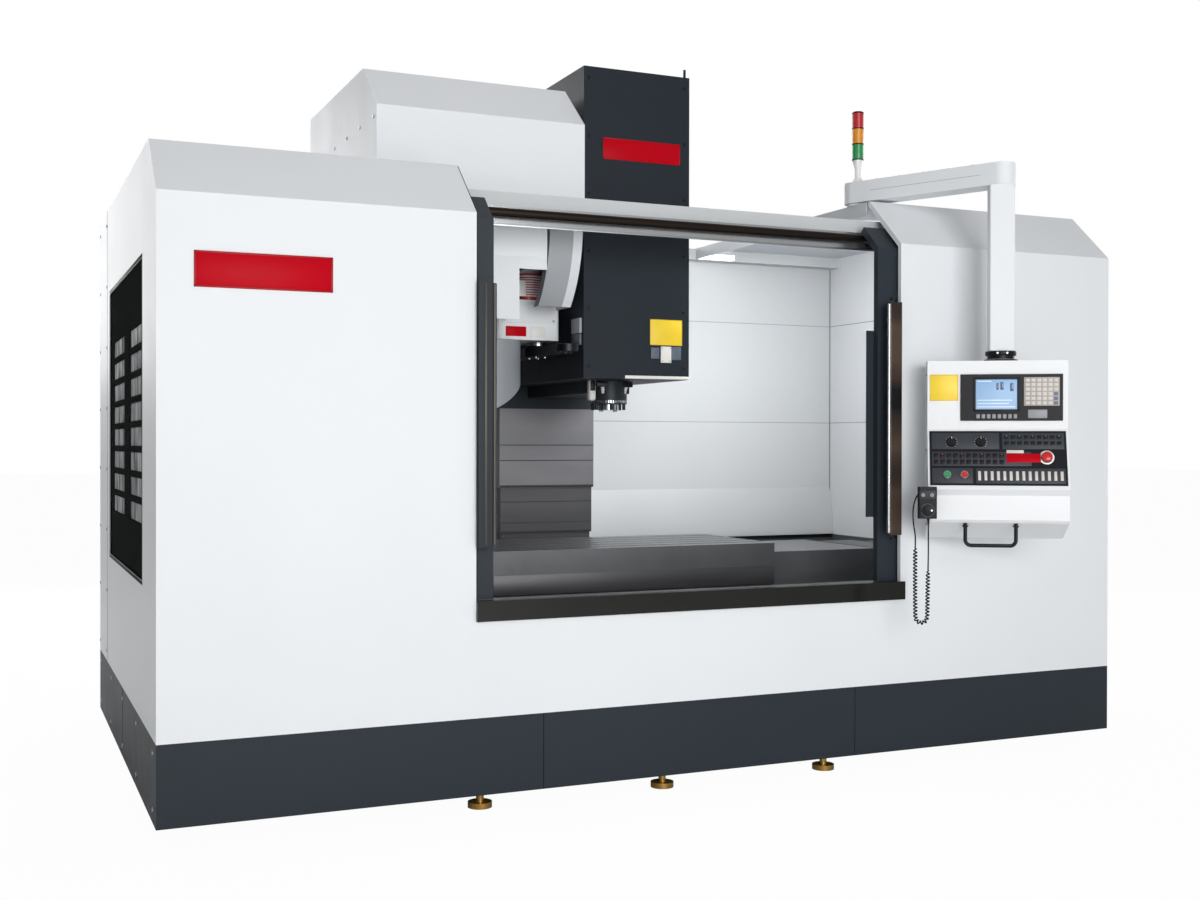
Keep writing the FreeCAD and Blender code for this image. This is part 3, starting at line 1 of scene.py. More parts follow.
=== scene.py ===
"""Looks of a vertical machining centre with a full enclosure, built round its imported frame."""
import bpy
import bmesh
import math
from mathutils import Euler, Matrix, Vector


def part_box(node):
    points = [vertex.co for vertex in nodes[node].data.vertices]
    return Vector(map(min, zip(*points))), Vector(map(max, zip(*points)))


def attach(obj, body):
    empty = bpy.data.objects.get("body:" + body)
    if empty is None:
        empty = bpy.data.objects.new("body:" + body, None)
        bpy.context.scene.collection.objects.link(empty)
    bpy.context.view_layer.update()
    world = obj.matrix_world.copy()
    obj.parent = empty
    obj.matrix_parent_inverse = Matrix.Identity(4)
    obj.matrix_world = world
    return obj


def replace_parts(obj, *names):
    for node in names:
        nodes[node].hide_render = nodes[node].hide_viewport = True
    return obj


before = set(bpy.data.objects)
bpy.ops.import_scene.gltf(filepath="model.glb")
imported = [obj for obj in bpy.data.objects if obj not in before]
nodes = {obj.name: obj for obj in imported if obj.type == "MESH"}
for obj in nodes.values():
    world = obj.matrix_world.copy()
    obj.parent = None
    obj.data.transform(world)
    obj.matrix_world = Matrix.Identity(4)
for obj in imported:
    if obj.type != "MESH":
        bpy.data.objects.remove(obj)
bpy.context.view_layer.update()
studio = bpy.context.scene

# ---- The photographer's stand ------------------------------------------------------------------
# The camera stands left of the machine, at chest height, about five metres from the doors, and
# looks almost level. Its place was worked out from the enclosure's edges.
lens = bpy.data.cameras.new("photo_camera")
lens.lens = 41.55
lens.sensor_width = 36.0
lens.clip_end = 100.0
camera = bpy.data.objects.new("photo_camera", lens)
camera.location = (-2.700, -6.131, 1.404)
camera.rotation_euler = Euler((math.radians(89.737), 0, math.radians(-24.07)))
camera.rotation_euler.rotate_axis("Z", math.radians(0.094))
studio.collection.objects.link(camera)
studio.camera = camera
studio.view_settings.view_transform = "Standard"


# ---- The studio --------------------------------------------------------------------------------
# A wide soft box hangs in front of the machine, others above, behind and on both sides, and a small
# one inside lights the splash space. Floor and surroundings are white to the camera, and the floor
# keeps a faint shadow.
def soft_box(name, place, target, size, power):
    """Rectangular lamp that faces a point."""
    lamp = bpy.data.lights.new(name, "AREA")
    lamp.shape = "RECTANGLE"
    lamp.size, lamp.size_y = size
    lamp.energy = power
    stand = bpy.data.objects.new(name, lamp)
    stand.location = place
    aim = Vector(target) - Vector(place)
    stand.rotation_euler = aim.to_track_quat("-Z", "Y").to_euler()
    studio.collection.objects.link(stand)


soft_box("front_lamp", (-1.0, -8.5, 2.3), (-0.1, 0, 1.4), (4.2, 3.5), 375)
soft_box("top_lamp", (0.2, 3.4, 6.5), (0, 0.3, 1.5), (6.0, 4.0), 120)
soft_box("inner_lamp", (1.0, -0.56, 2.42), (1.35, 0.55, 0.2), (1.2, 0.25), 30)
soft_box("rear_lamp", (-2.5, 8.0, 3.5), (0, 0, 1.5), (5.0, 3.0), 270)
soft_box("left_lamp", (-8.5, -1.0, 3.0), (0, 0, 1.4), (4.0, 3.0), 12)
soft_box("right_lamp", (8.5, 1.0, 3.0), (0, 0.5, 1.4), (4.0, 3.0), 110)


class Flow:
    """A node's output. Sums on it add Math nodes to its tree."""

    def __init__(self, tree, socket):
        self.tree = tree
        self.socket = socket

    def maths(self, operation, first, second=0.0):
        return add_node(self.tree, "ShaderNodeMath", {"operation": operation},
                        {0: first, 1: second})

    def __add__(self, other):
        return self.maths("ADD", self, other)

    def __radd__(self, other):
        return self.maths("ADD", other, self)

    def __sub__(self, other):
        return self.maths("SUBTRACT", self, other)

    def __rsub__(self, other):
        return self.maths("SUBTRACT", other, self)

    def __mul__(self, other):
        return self.maths("MULTIPLY", self, other)

    def __rmul__(self, other):
        return self.maths("MULTIPLY", other, self)

    def __truediv__(self, other):
        return self.maths("DIVIDE", self, other)

    def __mod__(self, other):
        return self.maths("MODULO", self, other)

    def over(self, limit):
        """1 where this is above limit, else 0."""
        return self.maths("GREATER_THAN", self, limit)

    def floor(self):
        return self.maths("FLOOR", self)


def add_node(tree, kind, settings=None, inputs=None, output=0):
    """One node, its settings first, then the values or links of its sockets."""
    made = tree.nodes.new(kind)
    for key, value in (settings or {}).items():
        setattr(made, key, value)
    for key, value in (inputs or {}).items():
        if isinstance(value, Flow):
            tree.links.new(value.socket, made.inputs[key])
        else:
            made.inputs[key].default_value = value
    return Flow(tree, made.outputs[output]) if made.outputs else made


def ray(tree, kind):
    """1 for rays of a kind, such as those from the camera, else 0."""
    return add_node(tree, "ShaderNodeLightPath", output="Is %s Ray" % kind)


studio.world = bpy.data.worlds.new("studio_white")
studio.world.use_nodes = True
sky = studio.world.node_tree
sky_light, sky_seen = (add_node(sky, "ShaderNodeBackground", None,
                                {"Color": (1, 1, 1, 1), "Strength": strength})
                       for strength in (0.34, 1.0))
sky_share = ray(sky, "Camera") + ray(sky, "Transmission") + ray(sky, "Glossy") * 0.2
sky_mix = add_node(sky, "ShaderNodeMixShader", None, {0: sky_share, 1: sky_light, 2: sky_seen})
sky.links.new(sky_mix.socket, sky.nodes["World Output"].inputs["Surface"])

floor_mesh = bpy.data.meshes.new("studio_floor")
floor_reach = 60.0
floor_mesh.from_pydata([(x * floor_reach, y * floor_reach, 0)
                        for x, y in ((-1, -1), (1, -1), (1, 1), (-1, 1))], [], [(0, 1, 2, 3)])
floor = bpy.data.objects.new("studio_floor", floor_mesh)
floor.location.z = -0.001
studio.collection.objects.link(floor)
floor_paint = bpy.data.materials.new("studio_floor")
floor_paint.use_nodes = True
floor_tree = floor_paint.node_tree
floor_base = floor_tree.nodes["Principled BSDF"]
floor_base.inputs["Base Color"].default_value = (0.9, 0.9, 0.9, 1)
floor_base.inputs["Roughness"].default_value = 0.9
floor_mix = add_node(floor_tree, "ShaderNodeMixShader", None,
                     {0: ray(floor_tree, "Camera") * 0.97,
                      1: Flow(floor_tree, floor_base.outputs[0]),
                      2: add_node(floor_tree, "ShaderNodeEmission")})
floor_tree.links.new(floor_mix.socket, floor_tree.nodes["Material Output"].inputs["Surface"])
floor_mesh.materials.append(floor_paint)


# ---- Pendant cord ------------------------------------------------------------------------------
# The hand wheel's curly cord, 6 mm over its soft black jacket, leaves the console's left side,
# hangs down, is wound in forty curls that turn round a low bend, and rises into the pendant.
skin_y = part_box("front_apron")[0].y


def at(x, y, z):
    """Point from millimetres across, behind the front skin and above the floor."""
    return Vector((x / 1000, skin_y + y / 1000, z / 1000))


desk = Matrix.Translation(at(1299, -253, 0)) @ Matrix.Rotation(math.radians(-34), 4, "Z")
cord_down = [(-313, -158, 1205), (-340, -158, 1205), (-362, -172, 1183), (-376, -192, 1140),
             (-376, -207, 1075), (-366.9, -215, 1025), (-367, -215, 985)]
cord_curls = [(-367, -215, 985), (-367.5, -215, 790), (-366.2, -215, 710), (-366, -215, 670),
              (-352, -215, 656), (-332, -215, 656), (-318, -215, 670), (-317, -215, 710),
              (-316, -215, 790), (-314.5, -215, 889)]
cord_up = [(-314.5, -215, 889), (-313.5, -215, 955), (-314, -217, 1022), (-314, -217, 1093)]
cord_width = 0.006
curl_count = 40
curl_radius = 0.007
curl_points = 12


def on_desk(points):
    """Console points in millimetres as points of the scene."""
    return [desk @ (Vector(point) / 1000) for point in points]


def smooth_line(name, points, radius=0.0):
    """NURBS line along a route. Its points carry the radius, which its bounds then allow for."""
    curve = bpy.data.curves.new(name, "CURVE")
    curve.dimensions = "3D"
    curve.resolution_u = 3 if radius else 30
    curve.bevel_depth = 1.0 if radius else 0.0
    curve.bevel_resolution = 3
    curve.use_fill_caps = True
    spline = curve.splines.new("NURBS")
    spline.points.add(len(points) - 1)
    for point, place in zip(spline.points, points):
        point.co = (*place, 1.0)
        point.radius = radius
    spline.order_u = 3
    spline.use_endpoint_u = True
    line = bpy.data.objects.new(name, curve)
    studio.collection.objects.link(line)
    return line


def curls(points, sideways):
    """Curls round a route, tighter towards both of its ends."""
    guide = smooth_line("curl_guide", points)
    mesh = bpy.data.meshes.new_from_object(guide)
    line = [vert.co.copy() for vert in mesh.vertices]
    bpy.data.objects.remove(guide)
    reached = [0.0]
    for before, after in zip(line, line[1:]):
        reached.append(reached[-1] + (after - before).length)
    straight = 0.006
    result, k = [], 0
    steps = curl_count * curl_points
    for step in range(steps + 1):
        share = step / steps
        distance = straight + (reached[-1] - 2 * straight) * share
        while k < len(line) - 2 and reached[k + 1] < distance:
            k += 1
        part = (distance - reached[k]) / (reached[k + 1] - reached[k])
        centre = line[k].lerp(line[k + 1], part)
        heading = (line[k + 1] - line[k]).normalized()
        grow = min(1.0, 20 * share, 20 * (1 - share))
        reach = curl_radius * grow * grow * (3 - 2 * grow)
        turn = 2 * math.pi * curl_count * share
        result.append(centre + heading.cross(sideways) * reach * math.cos(turn)
                      + sideways * reach * math.sin(turn))
    return result


desk_out = (desk.to_3x3() @ Vector((0, 1, 0))).normalized()
pendant_cord = smooth_line("pendant_curly_cord",
                           on_desk(cord_down) + curls(on_desk(cord_curls), desk_out)
                           + on_desk(cord_up), cord_width / 2)
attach(pendant_cord, "console")
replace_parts(pendant_cord, "pendant_cord_in", "pendant_coil", "pendant_cord_out")


# ---- White sheet covers ------------------------------------------------------------------------
# Front, sides, roof and rear are folded steel sheet, 3 mm thick, with a pale powder coat: slightly
# pebbled, satin and faintly cloudy. Low round screws with hexagon sockets hold the sheets, which
# meet in narrow joints.
def linear(tone):
    """Colour written as on a paint card, such as "E4E7E9", in Blender's own numbers."""
    values = [int(tone[i:i + 2], 16) / 255 for i in (0, 2, 4)]
    return [v / 12.92 if v <= 0.04045 else ((v + 0.055) / 1.055) ** 2.4 for v in values] + [1.0]


class Finish:
    """A surface finish: one shader and the nodes that vary it."""

    def __init__(self, name, tone, roughness, metallic=0.0, **sockets):
        self.material = bpy.data.materials.new(name)
        self.material.use_nodes = True
        self.tree = self.material.node_tree
        self.shader = self.tree.nodes["Principled BSDF"]
        self.shader.inputs["Base Color"].default_value = linear(tone)
        self.shader.inputs["Roughness"].default_value = roughness
        self.shader.inputs["Metallic"].default_value = metallic
        for socket, value in sockets.items():
            self.shader.inputs[socket.replace("_", " ")].default_value = value
        self.material.diffuse_color = linear(tone)

    def node(self, kind, inputs=None, output=0, **settings):
        return add_node(self.tree, kind, settings, inputs, output)

    def spot(self, stretch=(1, 1, 1)):
        """Place on the object in metres, stretched."""
        coordinates = self.node("ShaderNodeTexCoord", output="Object")
        return self.node("ShaderNodeMapping", {"Vector": coordinates, "Scale": stretch})

    def along(self, axis):
        """Place along the X, Y or Z of the scene in metres."""
        return self.node("ShaderNodeSeparateXYZ", {"Vector": self.spot()}, axis)

    def noise(self, scale, detail=2.0, stretch=(1, 1, 1)):
        return self.node("ShaderNodeTexNoise",
                         {"Vector": self.spot(stretch), "Scale": scale, "Detail": detail})

    def blend(self, share, *tones):
        """Colour between two by a share. A tone is a paint card value or a Flow."""
        from_tone, to_tone = (linear(tone) if isinstance(tone, str) else tone for tone in tones)
        return self.node("ShaderNodeMix", {0: share, 6: from_tone, 7: to_tone}, 2, data_type="RGBA")

    def vary(self, **sockets):
        """Links sockets of the shader, such as Base_Color, to what changes over the surface."""
        for socket, value in sockets.items():
            self.tree.links.new(value.socket, self.shader.inputs[socket.replace("_", " ")])

    def cloud(self, tone_a, tone_b, scale, detail=2.0, stretch=(1, 1, 1)):
        """Clouds the base colour between two tones."""
        self.vary(Base_Color=self.blend(self.noise(scale, detail, stretch), tone_a, tone_b))

    def bump(self, height, strength, depth):
        self.vary(Normal=self.node("ShaderNodeBump", {"Height": height, "Strength": strength,
                                                      "Distance": depth}))


def grained(name, tone, roughness, grain, strength, depth=0.0003, **sockets):
    """Plain finish with a fine grain, so many to the metre, and its depth in metres."""
    coat = Finish(name, tone, roughness, **sockets)
    coat.bump(coat.noise(grain), strength, depth)
    return coat


def worn(name, tone, smooth, rough, scale, detail=2.0, stretch=(1, 1, 1), **sockets):
    """Plain finish whose roughness wanders between two values."""
    coat = Finish(name, tone, smooth, **sockets)
    coat.vary(Roughness=smooth + coat.noise(scale, detail, stretch) * (rough - smooth))
    return coat


def powder_coat(name, tone, shaded, roughness=0.5, pebble=0.12, gloss=0.3):
    """Powder coat with fine orange peel and faint cloudiness."""
    coat = Finish(name, tone, roughness, Specular_IOR_Level=gloss)
    cloud = coat.noise(1.7, 3.0)
    coat.vary(Base_Color=coat.blend((cloud - 0.35) * 0.5, tone, shaded),
              Roughness=roughness - 0.05 + coat.noise(6.0, 4.0) * 0.1)
    coat.bump(coat.noise(420.0, 2.0), pebble, 0.0006)
    return coat


def finish_node(name, coat):
    """Puts a finish on a node of the frame."""
    slots = nodes[name].data.materials
    slots.clear()
    slots.append(coat.material)


white_coat = powder_coat("white_powder_coat", "E2E5E8", "D7DBDF")
# The roof takes a darker copy of the white coat, as painted shade on its top and slopes.
roof_coat_painted_shade = powder_coat("roof_painted_shade_coat", "D3D7DB", "C8CCD1")
for cover in ("front_panels", "front_apron", "side_panels", "magazine_hood", "rear_panels"):
    finish_node(cover, white_coat)
finish_node("roof_panels", roof_coat_painted_shade)


def add_block(form, low, high, radius, segments=2):
    """Block with rounded edges, added to a form. Corners in metres."""
    low, high = Vector(low), Vector(high)
    size = high - low
    verts = bmesh.ops.create_cube(form, size=1.0)["verts"]
    for vert in verts:
        vert.co = Vector(vert.co[i] * size[i] + (low[i] + high[i]) / 2 for i in range(3))
    radius = min(radius, 0.45 * min(size))
    edges = list({edge for vert in verts for edge in vert.link_edges})
    bmesh.ops.bevel(form, geom=edges, offset=radius, segments=segments, profile=0.5, affect="EDGES")


def piece(form, name, finish, body, place=None, crisp=30.0):
    """Object of a form, riding on a body."""
    bmesh.ops.remove_doubles(form, verts=form.verts, dist=1e-6)
    bmesh.ops.recalc_face_normals(form, faces=form.faces)
    if place is not None:
        bmesh.ops.transform(form, matrix=place, verts=form.verts)
    mesh = bpy.data.meshes.new(name)
    form.to_mesh(mesh)
    form.free()
    mesh.shade_smooth()
    mesh.set_sharp_from_angle(angle=math.radians(crisp))
    mesh.materials.append(finish.material)
    made = bpy.data.objects.new(name, mesh)
    studio.collection.objects.link(made)
    if body:
        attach(made, body)
    return made


def blocks(name, finish, body, corners, radius, place=None, segments=2):
    """One piece of several rounded blocks, given as corner pairs in metres."""
    form = bmesh.new()
    for low, high in corners:
        add_block(form, [min(a, b) for a, b in zip(low, high)],
                  [max(a, b) for a, b in zip(low, high)], radius, segments)
    return piece(form, name, finish, body, place)


def lathe_form(profile, start, axis, steps=32):
    """Turned form: (radius, distance along the axis) pairs in metres, from start. A profile that
    ends where it starts makes a ring."""
    form = bmesh.new()
    axis = Vector(axis).normalized()
    side = axis.orthogonal().normalized()
    other = axis.cross(side)
    rings = []
    for radius, far in profile:
        centre = Vector(start) + axis * far
        if radius < 1e-6:
            rings.append([form.verts.new(centre)])
        else:
            turns = [2 * math.pi * k / steps for k in range(steps)]
            rings.append([form.verts.new(centre + (side * math.cos(turn) + other * math.sin(turn))
                                         * radius) for turn in turns])
    for ring, after in zip(rings, rings[1:]):
        for k in range(steps):
            n = (k + 1) % steps
            if len(ring) == 1:
                form.faces.new((ring[0], after[k], after[n]))
            elif len(after) == 1:
                form.faces.new((ring[k], ring[n], after[0]))
            else:
                form.faces.new((ring[k], ring[n], after[n], after[k]))
    for ring in (rings[0], rings[-1]):
        if len(ring) > 1 and profile[0] != profile[-1]:
            form.faces.new(ring)
    return form


def turned(name, finish, body, profile, start, axis, steps=32, crisp=35.0):
    """Turned piece, riding on a body."""
    return piece(lathe_form(profile, start, axis, steps), name, finish, body, None, crisp)


def repeat_tree():
    """Pattern of rows and columns: one shape at each of its points."""
    tree = bpy.data.node_groups.new("rows_and_columns", "GeometryNodeTree")
    for name, kind in (("Shape", "Object"), ("Start", "Vector"), ("Step across", "Vector"),
                       ("Across", "Int"), ("Step up", "Vector"), ("Up", "Int"),
                       ("Finish", "Material")):
        tree.interface.new_socket(name, in_out="INPUT", socket_type="NodeSocket" + kind)
    tree.interface.new_socket("Geometry", in_out="OUTPUT", socket_type="NodeSocketGeometry")
    given = {socket.name: Flow(tree, socket)
             for socket in tree.nodes.new("NodeGroupInput").outputs}

    def vector(operation, inputs):
        return add_node(tree, "ShaderNodeVectorMath", {"operation": operation}, inputs)

    index = add_node(tree, "GeometryNodeInputIndex")
    column = index % given["Across"]
    row = (index / given["Across"]).floor()
    sideways = vector("SCALE", {0: given["Step across"], "Scale": column})
    upwards = vector("SCALE", {0: given["Step up"], "Scale": row})
    spot = vector("ADD", {0: given["Start"], 1: vector("ADD", {0: sideways, 1: upwards})})
    points = add_node(tree, "GeometryNodePoints", None,
                      {"Count": given["Across"] * given["Up"], "Position": spot})
    shape = add_node(tree, "GeometryNodeObjectInfo", None, {"Object": given["Shape"]}, "Geometry")
    placed = add_node(tree, "GeometryNodeInstanceOnPoints", None,
                      {"Points": points, "Instance": shape})
    real = add_node(tree, "GeometryNodeRealizeInstances", None, {"Geometry": placed})
    finished = add_node(tree, "GeometryNodeSetMaterial", None,
                        {"Geometry": real, "Material": given["Finish"]})
    add_node(tree, "NodeGroupOutput", None, {"Geometry": finished})
    return tree


rows_and_columns = repeat_tree()


def repeated(name, finish, body, form, start, across, count, up=(0, 0, 0), rows=1, place=None):
    """A form repeated in rows and columns by the pattern's tree, as one plain mesh."""
    shape = piece(form, name + "_shape", finish, None)
    holder = bpy.data.objects.new(name, bpy.data.meshes.new(name))
    studio.collection.objects.link(holder)
    pattern = holder.modifiers.new("pattern", "NODES")
    pattern.node_group = rows_and_columns
    values = {"Shape": shape, "Start": tuple(start), "Step across": tuple(across), "Across": count,
              "Step up": tuple(up), "Up": rows, "Finish": finish.material}
    for item in rows_and_columns.interface.items_tree:
        if item.name in values:
            pattern[item.identifier] = values[item.name]
    bpy.context.view_layer.update()
    seen = holder.evaluated_get(bpy.context.evaluated_depsgraph_get())
    mesh = bpy.data.meshes.new_from_object(seen)
    holder.modifiers.clear()
    holder.data = mesh
    if place is not None:
        mesh.transform(place)
    mesh.update()
    bpy.data.objects.remove(shape)
    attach(holder, body)
    return holder


def screws(name, finish, body, radius, facing, start, across, count, up=(0, 0, 0), rows=1,
           place=None):
    """Rows of low round screw heads with a hexagon socket, facing along an axis."""
    head = 0.45 * radius
    profile = [(radius, 0.0), (radius, 0.6 * head), (0.8 * radius, head), (0.45 * radius, head),
               (0.42 * radius, 0.4 * head), (0.0, 0.4 * head)]
    form = lathe_form(profile, (0, 0, 0), facing, 12)
    repeated(name, finish, body, form, start, across, count, up, rows, place)


seam_dark = worn("seam_shadow", "3A3D40", 0.7, 0.9, 60.0, Specular_IOR_Level=0.2)
screw_zinc = grained("zinc_screw", "A9ABAD", 0.35, 900.0, 0.1, 0.0002, Metallic=0.9)
screw_dark = worn("black_screw", "26272A", 0.3, 0.46, 90.0, Metallic=0.8)
left_x, right_x = (corner.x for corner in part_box("side_panels"))
rear_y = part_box("rear_panels")[1].y
roof_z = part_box("roof_panels")[1].z
panel_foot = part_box("front_apron")[0].z
for label, seams_at in (("rear_left", (-1.83, -1.21)), ("rear_right", (0.62,))):
    blocks(label + "_seams", seam_dark, "machine",
           [((x - 0.002, rear_y - 0.0005, panel_foot + 0.02),
             (x + 0.002, rear_y + 0.0006, roof_z - 0.03)) for x in seams_at], 0.0002)
screws("rear_screws_left", screw_zinc, "machine", 0.009, (0, 1, 0),
       (-2.09, rear_y, panel_foot + 0.06), (0.30, 0, 0), 6, (0, 0, 0.335), 7)
screws("rear_screws_right", screw_zinc, "machine", 0.009, (0, 1, 0),
       (1.985, rear_y, panel_foot + 0.06), (0.105, 0, 0), 2, (0, 0, 0.335), 7)
for label, side, x, seams_at in (("left", -1, left_x, (2010,)), ("right", 1, right_x, (820, 1640))):
    blocks(label + "_side_seams", seam_dark, "machine",
           [((x - 0.0006, at(0, y, 0).y - 0.002, panel_foot + 0.004),
             (x + 0.0006, at(0, y, 0).y + 0.002, roof_z - 0.004)) for y in seams_at], 0.0002)
    screws(label + "_side_screws", screw_zinc, "machine", 0.008, (side, 0, 0),
           (x, at(0, 2035, 0).y, panel_foot + 0.05), (0, 0.38, 0), 2, (0, 0, 0.29), 8)
screws("roof_screws_left", screw_zinc, "machine", 0.008, (0, 0, 1),
       at(-2120, 300, 2501), (0.0, 0.42, 0), 6, (0.15, 0, 0), 1)
screws("roof_screws_right", screw_zinc, "machine", 0.008, (0, 0, 1),
       at(1010, 560, 2501), (0, 0.36, 0), 6, (1.1, 0, 0), 2)

# ---- Slate base --------------------------------------------------------------------------------
# The skirt round the bed is 3 mm sheet in dark slate powder coat, with butt joints between its
# lengths. Yellow zinc levelling feet carry the bed under it.
slate_coat = powder_coat("slate_powder_coat", "2B3238", "242A2F", 0.5, gloss=0.15)
finish_node("plinth", slate_coat)
skirt_low, skirt_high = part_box("plinth")
skirt_shadow = worn("skirt_shadow", "14171A", 0.7, 0.9, 60.0, Specular_IOR_Level=0.1)
side_joint = skirt_low.y + 1.24
blocks("skirt_joints", skirt_shadow, "machine",
       [((x - 0.0015, skirt_low.y - 0.0006, skirt_low.z + 0.002),
         (x + 0.0015, skirt_low.y + 0.0006, skirt_high.z - 0.002)) for x in (-0.71, 0.73)]
       + [((x - 0.0006, side_joint - 0.0015, skirt_low.z + 0.002),
           (x + 0.0006, side_joint + 0.0015, skirt_high.z - 0.002)) for x in (left_x, right_x)],
       0.0002)
for hand, x, side in (("left", left_x, -1), ("right", right_x, 1)):
    screws("skirt_screws_" + hand, screw_zinc, "machine", 0.009, (side, 0, 0),
           (x, skirt_low.y + 0.09, skirt_low.z + 0.05), (0, 0.566, 0), 5, (0, 0, 0.2), 2)
foot_zinc = Finish("yellow_zinc", "B98E43", 0.38, 0.9)
foot_zinc.cloud("9A6F33", "C9A55A", 30.0, 3.0)
finish_node("levelling_pads", foot_zinc)

# ---- Bare name fields --------------------------------------------------------------------------
# Red fields on the front and on the head are thin acrylic plates with a bevelled rim, stuck on;
# the small yellow ones are coated foil. All are bare.
red_acrylic = grained("red_acrylic", "B80B1C", 0.3, 260.0, 0.04, 0.0004, Specular_IOR_Level=0.03)
red_field = grained("red_field", "A30A18", 0.34, 260.0, 0.05, 0.0004, Specular_IOR_Level=0.15)
yellow_foil = Finish("yellow_foil", "F1D02C", 0.42)
yellow_foil.cloud("F3D431", "EBC722", 14.0)


def rim_bars(low, high, proud, sunk, width, foot_width=None):
    """Bars along the four sides of a field towards -y, from proud of its face to sunk in it."""
    near, far, foot_width = low[1] - proud, low[1] + sunk, foot_width or width
    return [((low[0], near, low[2]), (high[0], far, low[2] + foot_width)),
            ((low[0], near, high[2] - foot_width), (high[0], far, high[2])),
            ((low[0], near, low[2]), (low[0] + width, far, high[2])),
            ((high[0] - width, near, low[2]), (high[0], far, high[2]))]


def name_field(name, low, high, body, thick=0.005, rim=0.008):
    """Red plate with a raised rim, low and high being opposite corners on a face towards -y."""
    blocks(name, red_acrylic, body,
           [((low.x, low.y - thick * 0.6, low.z), (high.x, low.y + 0.001, high.z))], 0.002)
    blocks(name + "_rim", red_field, body, rim_bars(low, high, thick, 0.0, rim), 0.0015)


name_field("front_field", at(-2024, 0, 1949), at(-1535, 0, 2077), "machine")

# ---- Side window -------------------------------------------------------------------------------
# A smoked pane on the left side, held by a black rubber profile. Behind it a black guard of folded
# bars divides the view into two columns of eight cells, backed by frosted sheet whose patchy tone
# also glows faintly, as painted light.
smoked_glass = worn("smoked_glass", "0A0B0D", 0.08, 0.16, 3.0, 4.0, Specular_IOR_Level=0.0,
                    Alpha=0.2)
finish_node("side_window", smoked_glass)
guard_black = powder_coat("guard_black", "3C3F3F", "323535", 0.6, gloss=0.0)
guard_low, guard_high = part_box("window_guard")
bar_depth = 0.0117
guard_front = guard_high.x - bar_depth
cell_foot, cell_pitch, cell_height, cell_rows = 1.092, 0.100, 0.074, 8
cell_top = cell_foot + (cell_rows - 1) * cell_pitch + cell_height
columns = [(at(0, front, 0).y, at(0, back, 0).y) for front, back in ((500, 1040), (1245, 1790))]
uprights = (guard_low.y, *columns[0], *columns[1], guard_high.y)
bars = [((guard_front, *guard_low.yz), (guard_high.x, guard_high.y, cell_foot)),
        ((guard_front, guard_low.y, cell_top), tuple(guard_high))]
bars += [((guard_front, front, cell_foot), (guard_high.x, back, cell_top))
         for front, back in zip(uprights[::2], uprights[1::2])]
bars += [((guard_front, front, cell_foot + row * cell_pitch + cell_height),
          (guard_high.x, back, cell_foot + (row + 1) * cell_pitch))
         for row in range(cell_rows - 1) for front, back in columns]
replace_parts(blocks("window_lattice", guard_black, "machine", bars, 0.001), "window_guard")
# The frosted sheet glows in its patchy tone: painted light, as it is no lamp.
frosted = Finish("frosted_sheet_glow", "B5B8BA", 0.6, Emission_Strength=0.2)
glow_patches = frosted.blend((frosted.noise(3.0, 3.0, (1, 4.0, 1.4)) - 0.34) * 2.8, "44474A", "E6E8EA")
frosted.vary(Base_Color=glow_patches, Emission_Color=glow_patches)
frosted.bump(frosted.noise(300.0), 0.1, 0.0004)
for label, (front, back) in zip(("front", "rear"), columns):
    cell = bmesh.new()
    add_block(cell, (0, 0, 0), (0.002, back - front, cell_height), 0.001)
    repeated(label + "_window_cells", frosted, "machine", cell,
             (guard_high.x - 0.004, front, cell_foot), (0, 0, cell_pitch), cell_rows)
gasket_black = Finish("rubber_gasket", "141416", 0.62, Specular_IOR_Level=0.15)
gasket_black.bump(gasket_black.noise(160.0, 3.0), 0.12, 0.0004)


def gasket(name, body, low, high, width, depth, facing):
    """Rubber profile round an opening. low and high are its inner corners, facing is x or y."""
    low, high = Vector(low), Vector(high)
    if facing == "x":
        side, thick, across = (0, width, 0), (depth, 0, 0), (0, high.y - low.y, 0)
    else:
        side, thick, across = (width, 0, 0), (0, depth, 0), (high.x - low.x, 0, 0)
    side, thick, across = Vector(side), Vector(thick), Vector(across)
    up, rise = Vector((0, 0, width)), Vector((0, 0, high.z - low.z))
    blocks(name, gasket_black, body,
           [(low - side - up, low + across + side + thick),
            (low - side + rise, low + across + side + rise + up + thick),
            (low - side, low + rise + thick),
            (low + across, low + across + side + rise + thick)], 0.0025)


pane_low, pane_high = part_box("side_window")
gasket("side_window_gasket", "machine", (left_x - 0.0005, pane_low.y, pane_low.z),
       (left_x - 0.0005, pane_high.y, pane_high.z), 0.016, 0.004, "x")

# ---- Sliding doors -----------------------------------------------------------------------------
# Two leaves of slate sheet, bent with the front's slope, hang on a bar and carry large panes in
# rubber profiles. A row of screws holds each pane's clamping frame.
door_slate = powder_coat("door_slate", "2A3138", "23292F", 0.42, gloss=0.2)
clear_pane = worn("clear_pane", "8B9699", 0.04, 0.14, 2.4, 5.0, Specular_IOR_Level=0.4, Alpha=0.1)
for side in ("left", "right"):
    body = side + "_door"
    finish_node(body, door_slate)
    finish_node(side + "_door_window", clear_pane)
    low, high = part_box(side + "_door_window")
    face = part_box(body)[0].y
    gasket(side + "_pane_gasket", body, (low.x, face - 0.002, low.z),
           (high.x, face - 0.002, high.z), 0.018, 0.006, "y")
    screws(side + "_pane_screws_upright", screw_dark, body, 0.007, (0, -1, 0),
           (low.x - 0.036, face, low.z - 0.02), (high.x - low.x + 0.072, 0, 0), 2,
           (0, 0, 0.2625), 5)
    screws(side + "_pane_screws_level", screw_dark, body, 0.007, (0, -1, 0),
           (low.x + 0.1, face, low.z - 0.036), (0.196, 0, 0), 4, (0, 0, high.z - low.z + 0.072), 2)
